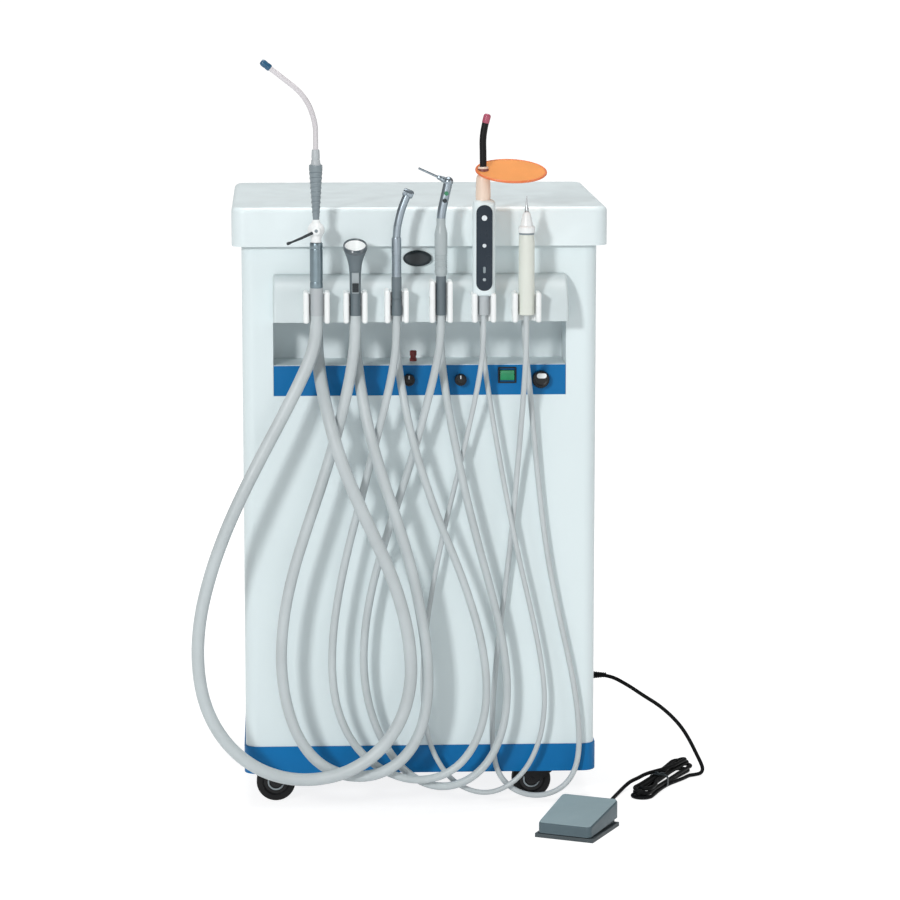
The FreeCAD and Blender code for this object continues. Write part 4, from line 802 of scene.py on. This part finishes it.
def saliva_ejector():
    """Cuff, dark barrel, ball valve, ribbed grip, collar and the bent tube."""
    x, tip_x, tip_z = EJECTOR_X, EJECTOR_X - 56, 945
    cuff = [(7.9, 640), (8.4, 641), (8.4, 668), (8.4, 672), (7.8, 674.4), (6.6, 675)]
    on_hook("ejector_cuff", cuff, x, "hose_cuff", replaces=["ejector_body"])
    barrel = [(7.2, 674), (8, 675.2)] + groove(8, 681, 683.6) + groove(8, 722, 724.6)
    barrel += [(8, 729.6), (7, 731)]
    on_hook("ejector_barrel", barrel, x, "ejector_dark")
    ball = [(0, 730), (6.8, 730.6), (6.4, 734.6)] + arc(VALVE_Z, 10.5, -48, 58)
    ball += [(4.6, 757.6), (4.2, 759)]
    on_hook("ejector_valve", ball, x, "bright_white")
    spindle = [(3.4, 7), (3.4, 10.6), (2, 10.8), (2, 14.9), (1.7, 15.3)]
    complete(turn_on_lathe("ejector_spindle", spindle, (x, TOOL_Y, VALVE_Z), FRONT, 32), "grey_plastic")
    grip = [(4, 757.5), (4, 762), (4.4, 763.5)]
    grip += ribs(4.4, 8, 765, 818, 9, 0.6) + [(8.4, 820), (8.4, 825.6), (7.6, 826.4)]
    on_hook("ejector_grip", grip, x, "grip_grey")
    collar = [(7, 825.5), (6.2, 827.5), (5.6, 829), (5.5, 832), (4.9, 832.6), (4.9, 834)]
    collar += [(5.3, 834.6), (4.8, 844), (4.3, 845)]
    on_hook("ejector_collar", collar, x, "hose_cuff")
    bend = [(x, 840), (x, 856), (x, 879), (x - 12.5, 911), (x - 45, 936.5), (tip_x, tip_z)]
    complete(bent_tube("ejector_bent_tube", bend, 3.3), "clear_tube", replaces=["ejector_tube"])
    tip = [(3.6, -1.5), (4.4, -0.4)] + groove(4.4, 3.4, 5.2, 0.4, 0.4)
    tip += [(4.4, 9.4), (3.9, 11), (2.7, 12.6), (1.5, 12.6), (1.5, 8)]
    nose = turn_on_lathe("ejector_tip", tip, (tip_x, TOOL_Y, tip_z), (-11, 0, 8.5), 32)
    complete(nose, "tip_blue")


def ejector_lever():
    """The lever of the ejector's valve: a pale hub with a slim dark arm that droops to a thumb tab."""
    x = EJECTOR_X
    hub = [(2.08, 11), (4.6, 11), (5, 11.5), (5, 13.8), (4.4, 14.4), (2.08, 14.4), (2.08, 11)]
    hub = turn_on_lathe("ejector_lever_hub", hub, (x, TOOL_Y, VALVE_Z), FRONT, 32)
    complete(hub, "bright_white", "lever", ["ejector_lever"])
    arm = [(1.75, 4.6), (1.9, 6), (1.7, 20), (1.3, 33), (1.7, 35.5), (2.1, 37.4), (1.8, 39.2)]
    arm += [(0, 40)]
    arm = turn_on_lathe("ejector_lever_arm", arm, steps=24)
    add_modifier(arm, "SIMPLE_DEFORM", deform_method="BEND", deform_axis="Y", angle=math.radians(7))
    complete(stand(arm, (x, TOOL_Y - 12.8, VALVE_Z), (-34.5, 0, -18)), "dark_plastic", "lever")


saliva_ejector()
ejector_lever()

# ---- large suction handle


def lean_mouth(piece):
    """Tips the mouth of the suction handle towards the front, more the higher it is."""
    low, high, slope = 701, 724, 0.45
    for vertex in piece.data.vertices:
        share = min(1, max(0, (vertex.co.z / MM - low) / (high - low)))
        vertex.co.z += share * slope * (vertex.co.y - TOOL_Y * MM)
    return piece


def suction_tool():
    """The grey handle that opens into a dark-rimmed, oblique white funnel, with the seat of its slider."""
    x, foot = SUCTION_X, (SUCTION_X, TOOL_Y, 0)
    handle = [(6.6, 640), (7, 640.6)] + groove(7, 652, 654.6)
    handle += [(7, 684), (7.2, 692), (8, 701), (9.2, 707), (11, 713), (13.4, 719), (14.2, 722), (13.6, 723)]
    handle = turn_on_lathe("suction_body", handle + [(5.6, 705), (5.6, 699)], foot)
    complete(lean_mouth(handle), "dull_grey", replaces=["suction_handle"])
    rim = [(13, 720.4), (14.4, 721.4), (15, 723.4), (14.9, 726.4), (14.3, 727.8), (13.4, 727.9), (12.8, 727)]
    rim = turn_on_lathe("suction_rim", rim + [(12.5, 723), (13, 720.4)], foot)
    complete(lean_mouth(rim), "rim_grey")
    funnel = [(12.9, 726.6), (11.4, 722.8), (9, 717), (6.8, 711), (5.7, 707), (5.6, 701), (6.4, 701)]
    funnel += [(6.5, 706), (9.6, 714.8), (12.8, 722.8), (12.9, 726.6)]
    funnel = turn_on_lathe("suction_funnel", funnel, foot)
    complete(lean_mouth(funnel), "bright_white")
    seat = ease(block("slider_seat", (x - 4.5, -254.5, 668), (x + 4.5, -250, 694)), 1.2, 3)
    complete(seat, "soft_grey")
    thumb = block("slider_thumb", (x - 4, -257, 670), (x + 4, -254.85, 681))
    ridges = [
        block("slider_ridge", (x - 3.2, -257.8, 671.6 + rise), (x + 3.2, -256.8, 672.8 + rise))
        for rise in (2.6 * count for count in range(4))
    ]
    ease(join("suction_slider_thumb", thumb, *ridges), 0.3)
    complete(thumb, "dark_plastic", "slider", ["suction_slider"])


suction_tool()

# ---- handpiece


def handpiece():
    """The turbine handpiece: coupling, ringed grip, slim bent neck and a head with a push button."""
    x = HANDPIECE_X
    tail = [(6.5, 640), (7, 640.8), (7, 651), (6.4, 653)] + groove(6.3, 659, 661.6, 0.5)
    tail += [(6.3, 686), (6, 688)]
    on_hook("handpiece_coupling", tail, x, "dull_grey")
    grip = [(5.6, 687), (6, 688)] + ribs(5.75, 5.75, 690, 716, 13, 0.25)
    grip += [(6, 717), (6, 735), (5.4, 736.6)]
    on_hook("handpiece_grip", grip, x, "chrome", replaces=["handpiece_body"])
    line = [(x, 733), (x + 0.3, 745), (x + 2.6, 757), (x + 5.6, 769), (x + 10, 781), (x + 13, 788)]
    complete(bent_tube("handpiece_neck", line, 4.9), "chrome")
    head = [(4.28, 2.5), (4.28, 0), (4.9, 0), (5.2, 0.5)] + groove(5.2, 3, 4.2, 0.3, 0.3)
    head += [(5.2, 9.6), (4.4, 11.4), (3.4, 12), (1.1, 12), (1.1, 9)]
    head = turn_on_lathe("handpiece_head", head, (x + 9.5, TOOL_Y, 792.8), (22, 0, -9.5), 40)
    complete(head, "chrome")


handpiece()

# ---- syringe


def air_water_syringe():
    """The air and water syringe: cuffed grip, leaning head with its buttons, and the nozzle."""
    x = SYRINGE_X
    top, spout = (x + 9, TOOL_Y, 805), (-35, 0, 16)
    tail = [(6, 640), (6.4, 640.8), (6.4, 688), (5.8, 689.4)]
    on_hook("syringe_cuff", tail, x, "dull_grey")
    grip = [(6.2, 688.5), (7.6, 691.5), (8, 694)] + ribs(7.6, 7.6, 697, 715, 6, 0.4)
    grip += [(8, 716), (8, 741), (7.6, 743.6), (6.2, 749), (5.6, 752), (5.6, 760)]
    on_hook("syringe_grip", grip, x, "syringe_grey")
    line = [(x, 756), (x + 0.2, 764), (x + 2.6, 776), (x + 5.6, 790), (x + 8, 800), (x + 9, 805)]
    stalk = bent_tube("syringe_stalk", line, 5.5)
    for px, pz in ((x + 6.4, 791), (x + 4.5, 782)):
        subtract(stalk, drill(2.68, 12, (px, TOOL_Y - 1, pz), FRONT))
    complete(smooth(stalk, 40), "chrome", replaces=["syringe_body"])
    crown = turn_on_lathe("syringe_crown", arc(0, 6.2, -90, 90), top)
    snout = turn_on_lathe("syringe_snout", [(3.6, 0), (3.6, 8), (3.2, 9)], top, spout, 32)
    complete(join("syringe_head", crown, snout), "chrome")
    nozzle = [(3.2, 9.25), (3.2, 10.6), (2.8, 11), (2.8, 11.8), (3.1, 12.2), (2.4, 14.4)]
    nozzle += [(1.5, 15), (1.4, 30), (1.4, 40), (1.0, 40.4), (0.6, 40.4), (0.6, 38)]
    nozzle = turn_on_lathe("syringe_nozzle_tube", nozzle, top, spout, 32)
    complete(nozzle, "chrome", "nozzle", ["syringe_nozzle"])


air_water_syringe()

# ---- curing light


def curing_light():
    """The curing light: white handle with its black key panel and windows, neck and ferrule."""
    x, face, key_z = LIGHT_X, -257, 761
    handle = block("light_handle", (x - 14, face, 664), (x + 14, face + 24, 783))
    round_edges(handle, 10, 8, lambda a, b: abs(a.z - b.z) > 50)
    round_edges(handle, 5.5, 5, lambda a, b: abs(a.z - b.z) < 1 and not 665 < (a.z + b.z) / 2 < 782)
    subtract(handle, drill(3.46, 6, (x, face + 3, key_z), FRONT))
    complete(smooth(handle, 30), "white_plastic", replaces=["light_body"])
    panel = cut_sheet("light_key_panel", rounded_outline(10, 671, 777, 9.6, face - 0.7, x), (0, 2.2, 0))
    subtract(panel, drill(3.5, 12, (x, face + 4, key_z), FRONT))
    complete(ease(panel, 0.4, 2, 60), "black_glass")
    for name, height, radius, finish in (
        ("light_window", 727, 2.4, "mark_white"), ("light_lamp", 685, 2.0, "soft_grey"),
    ):
        lens = [(0, 0), (radius, 0), (radius, 1.1), (radius * 0.7, 1.5), (0, 1.7)]
        lens = turn_on_lathe(name, lens, (x, face + 0.2, height), FRONT, 24)
        complete(lens, finish)
    bezel = cut_sheet("light_lower_slot", rounded_outline(1.5, 693, 701, 1.4, face - 0.95, x), (0, 0.6, 0))
    complete(ease(bezel, 0.15), "grey_plastic")
    neck = [(6.6, 640), (7, 640.6)] + groove(7, 656, 659) + [(7, 668)]
    on_hook("light_neck", neck, x, "hose_cuff")
    ferrule = [(4.4, 800), (4.4, 780), (9.4, 780)] + groove(9.4, 783.4, 786)
    ferrule += [(9, 800), (8.6, 809), (8, 811.4), (7.2, 812.6), (4.4, 812.6), (4.4, 800)]
    on_hook("light_ferrule", ferrule, GUIDE_X, "pale_orange")


def light_guide():
    """The black light guide that leans over to its red-rimmed tip."""
    tip_x, tip_z = 79.5, 879.8
    line = [(GUIDE_X, 806.4), (GUIDE_X, 836.3), (75.2, 863.3), (tip_x, tip_z)]
    complete(bent_tube("light_guide_rod", line, 4.28, 14), "guide_black", "guide", ["light_guide"])
    cap = [(4.4, -3), (4.6, -2.4), (4.6, 5.6), (4.1, 7.2), (2.8, 8.2), (0, 8.6)]
    cap = turn_on_lathe("light_guide_cap", cap, (tip_x, TOOL_Y, tip_z), (6.4, 0, 24.5), 32)
    complete(cap, "tip_red", "guide")


def squashed(name, share):
    """Names the round piece that was just made and squashes it to an oval."""
    piece = named(name)
    piece.scale = (1, share, 1)
    return settle(piece)


def eye_shield():
    """The orange oval eye shield with its thick rim, on a sleeve round the guide."""
    seat, hole = Vector((GUIDE_X, TOOL_Y, 819)), Vector((-34.5, 0, 0))
    tilt = turned(2, "Y") @ turned(21, "X")
    bpy.ops.object.select_all(action="DESELECT")
    bpy.ops.mesh.primitive_cylinder_add(vertices=72, radius=43.4 * MM, depth=2 * MM)
    disc = ease(squashed("eye_shield_disc", 32 / 43.4), 0.6)
    bpy.ops.object.select_all(action="DESELECT")
    bpy.ops.mesh.primitive_torus_add(
        major_segments=72, minor_segments=12, major_radius=42.9 * MM, minor_radius=1.6 * MM
    )
    rim = squashed("eye_shield_rim", 31.5 / 42.9)
    subtract(disc, drill(6.2, 20, hole - 10 * UP, UP))
    for piece, finish in ((disc, "orange_shield"), (rim, "shield_rim")):
        put(piece, seat - tilt @ hole, tilt)
        complete(smooth(piece, 35), finish, "shield")
    # The dark brown sleeve is painted shade, and the pale collar above it is painted light on its top.
    sleeve = [(4.6, 815.6), (6.4, 815.6), (7, 816.2), (7, 820), (6.6, 820.6), (4.6, 820.6), (4.6, 815.6)]
    on_hook("eye_shield_sleeve", sleeve, GUIDE_X, "sleeve_brown", "shield", ["light_shield"])
    collar = [(4.6, 820.6), (6.2, 820.6), (6.6, 821.2), (6.6, 822.6), (6, 823.2), (4.6, 823.2), (4.6, 820.6)]
    on_hook("eye_shield_collar", collar, GUIDE_X, "pale_orange", "shield")


curing_light()
light_guide()
eye_shield()

# ---- scaler


def scaler():
    """The scaler: cream handle, dark joint line, white nose ring and cone, and the steel tip."""
    x = SCALER_X
    handle = [(9.6, 640), (10, 640.6)] + groove(10, 648, 650.5, 0.3, 0.5)
    handle += [(10, 690), (9.9, 715), (10, 730), (9.4, 737), (9, 740)]
    on_hook("scaler_handle", handle, x, "cream", replaces=["scaler_body"])
    joint = [(9.3, 739.4), (9.6, 740.2), (9.6, 742)]
    on_hook("scaler_joint_ring", joint, x, "grey_plastic")
    nose = [(9.9, 741.8), (10.3, 742.4), (10.3, 747.6), (9.6, 749.4), (8, 750.6), (6.6, 757)]
    nose += [(4.6, 765), (3.6, 767)]
    on_hook("scaler_nose", nose, x, "bright_white")
    tip = [(2.6, 767), (2.6, 768), (2.2, 768.4), (2.6, 768.8), (2.6, 771), (1.9, 773), (1.4, 776)]
    tip += [(0.9, 782), (0.5, 787)]
    on_hook("scaler_point", tip, x, "steel", replaces=["scaler_tip"])


scaler()

# ---- controls


def fluted_knob(name, x, radius, node):
    """A round knob with grip flutes, a skirt and a shallow dished face."""
    def fluted(middle, normal):
        around = math.degrees(math.atan2(normal.y, normal.x)) / 7.5
        return abs(normal.z) < 0.1 and round(around - 0.5) % 2

    bpy.ops.object.select_all(action="DESELECT")
    bpy.ops.mesh.primitive_cylinder_add(vertices=48, radius=radius * 0.95 * MM, depth=9 * MM)
    knob = named(f"{name}_knob")
    open_for_edit(knob, "FACE", fluted)
    bpy.ops.mesh.inset(thickness=0.12 * MM, depth=radius * 0.05 * MM, use_individual=True)
    close_edit()
    open_for_edit(knob, "FACE", lambda middle, normal: normal.z > 0.95 and middle.z > 4)
    bpy.ops.mesh.inset(thickness=radius * 0.22 * MM)
    bpy.ops.mesh.inset(thickness=0.6 * MM, depth=-0.5 * MM)
    close_edit()
    ease(knob, 0.25, 2, 35)
    stand(knob, (x, -193, DIAL_Z), FRONT)
    shaft = turn_on_lathe("shaft", [(2.9, -184.6), (2.9, -189)], toward=BACK, steps=24)
    put(shaft, (x, 0, DIAL_Z))
    complete(join(f"{name}_knob", knob, shaft), "black_knob", name, [node])


DIAL_Z, SCALER_DIAL_X, AIR_DIAL_X, WATER_DIAL_X = 552, 152, -14, 51
fluted_knob("scaler_dial", SCALER_DIAL_X, 11, "scaler_knob")
fluted_knob("air_dial", AIR_DIAL_X, 7.5, "air_knob")
fluted_knob("water_dial", WATER_DIAL_X, 7.5, "water_knob")
# A white inlay near the top of the scaler dial's face: a painted highlight where the dial's top catches the
# light.
knob_highlight = cut_sheet("scaler_dial_mark", rounded_outline(6.2, 553.6, 560, 3.1, -198, 153), (0, 1, 0))
complete(ease(knob_highlight, 0.25), "bright_white", "scaler_dial")
for dial, x in (("air_dial", AIR_DIAL_X), ("water_dial", WATER_DIAL_X)):
    mark = block(f"{dial}_mark", (x - 0.6, -197.9, 553.5), (x + 0.6, -197.0, 558))
    complete(ease(mark, 0.2), "bright_white", dial)

bezel = block("rocker_bezel", (98.4, -189.6, 546.8), (121.6, -187.5, 567.2))
subtract(bezel, block("cutter", (100.4, -195, 548.8), (119.6, -185, 565.2)))
complete(ease(bezel, 0.6), "black_knob")
bleed = [(4.6, 569), (4.6, 574), (3.6, 575), (3.6, 577), (4.4, 578), (4.4, 583), (3.6, 584)]
complete(turn_on_lathe("bay_bleed_cap", bleed, (-7, -150, 0), UP, 24), "printed_red")

# ---- screws


def screw_head():
    """A pan head with a cross recess, facing +Z at the origin."""
    head = [(3, -0.6), (3.2, 0), (3, 0.9), (2, 1.5), (0, 1.7)]
    head = turn_on_lathe("screw", head, steps=20)
    slots = [block("slot", (-2, -0.35, 0.9), (2, 0.35, 3)), block("slot", (-0.35, -2, 0.9), (0.35, 2, 3))]
    return subtract(head, *slots)


def panel_screws():
    """The screws of the rear panel and of the hinge leaves."""
    model = screw_head()
    panel = [(x, 190, z) for x in (-182, -91, 0, 91, 182) for z in (116, 684)]
    panel += [(x, 190, z) for x in (-184, 184) for z in (262, 400, 540)]
    panel += [(x + aside, 190, 700) for x in (-150, 150) for aside in (-11, 11)]
    leaves = [(x, 202, 738) for x in (-161, -139, 139, 161)]
    for name, places, body in (("rear_screws", panel, "root"), ("lid_leaf_screws", leaves, "lid")):
        heads = [stand(twin(model, "screw_copy"), place, BACK) for place in places]
        complete(smooth(join(name, *heads)), "steel", body)
    bpy.data.objects.remove(model)


panel_screws()

# ---- casters


def caster_wheels():
    """Black wheels with a crowned, grooved tread, a grey ring on each side and a dark hub cap."""
    models = []
    for part, finish, steps, half in (
        # Each profile up to the middle of the wheel, which the other half mirrors.
        ("tyre", "tyre_grey", 56, [
            (15.5, -7.4), (17.5, -9), (22.5, -9), (24.2, -8), (25, -6), (25, -1.2), (24.5, -0.8),
        ]),
        ("ring", "soft_grey", 48, [(8.6, -7), (9, -9.2), (10.4, -9.2), (10.9, -8.4)]),
        ("hub", "black_knob", 40, [(3.1, -9), (7.4, -9), (8.8, -7.8), (15.9, -7)]),
    ):
        other = [(radius, -height) for radius, height in reversed(half)]
        models.append((part, finish, turn_on_lathe(part, half + other + half[:1], steps=steps)))
    for corner, (x, y) in CASTERS.items():
        for part, finish, model in models:
            wheel = smooth(stand(twin(model, f"wheel_{part}_{corner}"), (x, y, 25), FRONT))
            complete(wheel, finish, f"wheel_{corner}", [f"caster_wheel_{corner}"] if part == "tyre" else [])
    for *_, model in models:
        bpy.data.objects.remove(model)


caster_wheels()

# ---- foot pedal, gland and tie


def on_pedal(piece):
    """Turns a piece that was made about the pedal's middle and moves it there."""
    return put(piece, PEDAL, turned(PEDAL_TURN))


def pedal_treadle():
    """The hinged wedge: a moulded cap with round shoulders and a soft pad on its slope."""
    half, wide, taper = 46, 38, 3  # half its length and width, and how much narrower a side is in front

    def slope(y):
        return 19 + 15 * (y + half) / (2 * half)

    def narrowed(piece, back):
        for vertex in piece.data.vertices:
            vertex.co.x *= 1 - taper * (half - vertex.co.y / MM) / (2 * half) / back
        return piece

    side = [(-wide, -half, 6), (-wide, -half, 19), (-wide, half, 34), (-wide, half, 12)]
    cap = narrowed(cut_sheet("pedal_cap", side, (2 * wide, 0, 0)), wide)
    round_edges(cap, 6, 6, lambda a, b: abs(a.z - b.z) > 5 and abs(a.y - b.y) < 1)
    round_edges(cap, 2.6, 4, lambda a, b: abs(a.z - slope(a.y)) < 0.05 and abs(b.z - slope(b.y)) < 0.05)
    open_up(cap, lambda middle, normal: normal.z < -0.9)
    thicken(cap, 2.5)
    subtract(cap, block("cutter", (-6.5, 40, 5), (6.5, 52, 18)))
    # The cap's dark slate is painted shade on the pedal's sides, and the pad's pale grey is painted light on
    # its top.
    complete(on_pedal(smooth(cap, 30)), "pedal_slate", "treadle", ["pedal_treadle"])
    pad_x, pad_y = wide - 1.2, half - 1.2
    pad = narrowed(block("pedal_pad", (-pad_x, -pad_y, -0.4), (pad_x, pad_y, 0.7)), pad_x)
    round_edges(pad, 5, 6, lambda a, b: abs(a.z - b.z) > 0.5)
    ease(pad, 0.5, 3)
    for vertex in pad.data.vertices:
        vertex.co.z += slope(vertex.co.y / MM) * MM
    complete(on_pedal(pad), "pedal_grey", "treadle")


def cable_boot():
    """The gland: a washer, a hexagon nut and a ribbed boot that tapers onto the cable."""
    washer = [(7.6, 0), (7.6, 0.8), (7.2, 1.2)]
    washer = turn_on_lathe("washer", washer, GLAND, (1, 0, 0), 36)
    nut = [(6.6, 1), (7.2, 1.5), (7.2, 4.6), (6.6, 5.2)]
    nut = turn_on_lathe("nut", nut, GLAND, (1, 0, 0), 6)
    pick(nut)
    bpy.ops.object.shade_flat()
    complete(join("cable_gland_nut", washer, nut), "dark_plastic", replaces=["cable_gland"])
    boot = [(2.6, 5), (5.2, 5), (5.2, 7)]
    for ring in range(6):
        outer, start = 5 - ring * 0.32, 7.5 + ring * 3
        inner = outer - 0.7
        boot += [(outer, start), (outer, start + 1.5), (inner, start + 1.8), (inner, start + 2.8)]
    boot += [(3.3, 25.6), (3.0, 27), (2.6, 27), (2.6, 5)]
    return complete(turn_on_lathe("cable_boot", boot, GLAND, (1, 0, -0.01), 28), "cable_dark")


def hank_tie():
    """The soft tie round the waist of the hank, with its two twisted ends."""
    band = block("hank_tie", (-12.2, -2.2, 0.8), (12.2, 2.2, 17.2))
    round_edges(band, 5, 5, lambda a, b: abs(a.y - b.y) > 3)
    open_up(band, lambda middle, normal: abs(normal.y) > 0.9)
    thicken(band, 0.8, 0.4)
    twist = ((0, 0, 17), (0.8, 0.6, 18.6), (3, 1.5, 19.6), (6.5, 3, 18.8))
    ends = [tube_along("end", [(side * x, y, z) for x, y, z in twist], 0.9) for side in (-1, 1)]
    put(join("hank_tie", band, *ends), HANK_TIE, turned(-27.46))
    return complete(smooth(band, 35), "dark_plastic")


pedal_treadle()
cable_boot()
hank_tie()

# ---- stage and light

FLOOR_GLOW = 0.86  # how bright the floor looks near the part, before light falls on it
FLOOR_SHADE = 0.3  # how much its shadow darkens it


def seen_by(tree, kinds, lighting, seen):
    """One shader for rays of these kinds, and another for all others."""
    path = add_node(tree, "LightPath")
    direct, *others = (path.outputs[f"Is {kind} Ray"] for kind in kinds)
    for other in others:
        direct = add_node(tree, "Math", {0: direct, 1: other}, operation="MAXIMUM").outputs[0]
    return add_node(tree, "MixShader", {0: direct, 1: lighting, 2: seen}).outputs[0]


def floor_look(tree):
    """Pale where light bounces off it, and white to the camera away from the shadow."""
    away = add_node(tree, "VectorMath", {0: on_piece(tree)}, operation="LENGTH").outputs["Value"]
    limits = {"Value": away, "From Min": 0.3, "From Max": 1.7, "To Min": FLOOR_GLOW, "To Max": 1.0}
    fade = add_node(tree, "MapRange", limits, interpolation_type="SMOOTHSTEP").outputs["Result"]
    glow = add_node(tree, "Emission", {"Strength": fade}).outputs[0]
    dim = add_node(tree, "BsdfDiffuse", {"Color": (FLOOR_SHADE, FLOOR_SHADE, FLOOR_SHADE, 1)}).outputs[0]
    seen = add_node(tree, "AddShader", {0: glow, 1: dim}).outputs[0]
    lighting = tree.nodes["Principled BSDF"].outputs[0]
    surface = seen_by(tree, ("Camera", "Glossy", "Transmission"), lighting, seen)
    fill(tree, tree.nodes["Material Output"], {"Surface": surface})
    return {
        "Base Color": blend_colours(tree, grain(tree, 0.8), shade(228, 230, 231), shade(236, 238, 239)),
        "Roughness": 0.8,
        "Specular IOR Level": 0.1,
    }


def stage_floor():
    """The floor, with its top just under the part's lowest point."""
    bpy.ops.object.select_all(action="DESELECT")
    bpy.ops.mesh.primitive_plane_add(size=190, location=(0, 0, -0.0002))
    floor = named("studio_floor")
    floor.data.materials.append(new_material("studio_floor", floor_look))


def soft_light(name, place, target, size, watts):
    """A square soft box that faces a point."""
    bpy.ops.object.light_add(type="AREA", location=place)
    lamp = named(name)
    lamp.data.shape = "SQUARE"
    lamp.data.size = size
    lamp.data.energy = watts
    lamp.rotation_euler = (Vector(target) - Vector(place)).to_track_quat("-Z", "Y").to_euler()


def studio_world(light, seen):
    """A world that lights softly and shows white to the camera and through glass."""
    world = bpy.data.worlds.new("studio_world")
    world.use_nodes = True
    scene.world = world
    tree = world.node_tree
    tree.nodes.clear()
    dim = add_node(tree, "Background", {"Strength": light}).outputs[0]
    bright = add_node(tree, "Background", {"Strength": seen, "Color": (1, 1, 1, 1)}).outputs[0]
    add_node(tree, "OutputWorld", {"Surface": seen_by(tree, ("Camera", "Transmission"), dim, bright)})


stage_floor()
soft_light("key_light", (-2.3, -4.9, 2.2), (0, -0.1, 0.45), 0.6, 138)
soft_light("front_light", (0.5, -5.2, 0.5), (0, 0, 0.5), 1.4, 14)
soft_light("side_light", (3.6, -2.4, 1.7), (0, 0, 0.5), 1.6, 24)
soft_light("top_light", (0.1, 0.2, 4.0), (0, 0, 0.4), 2.4, 80)
studio_world(0.36, 1.0)
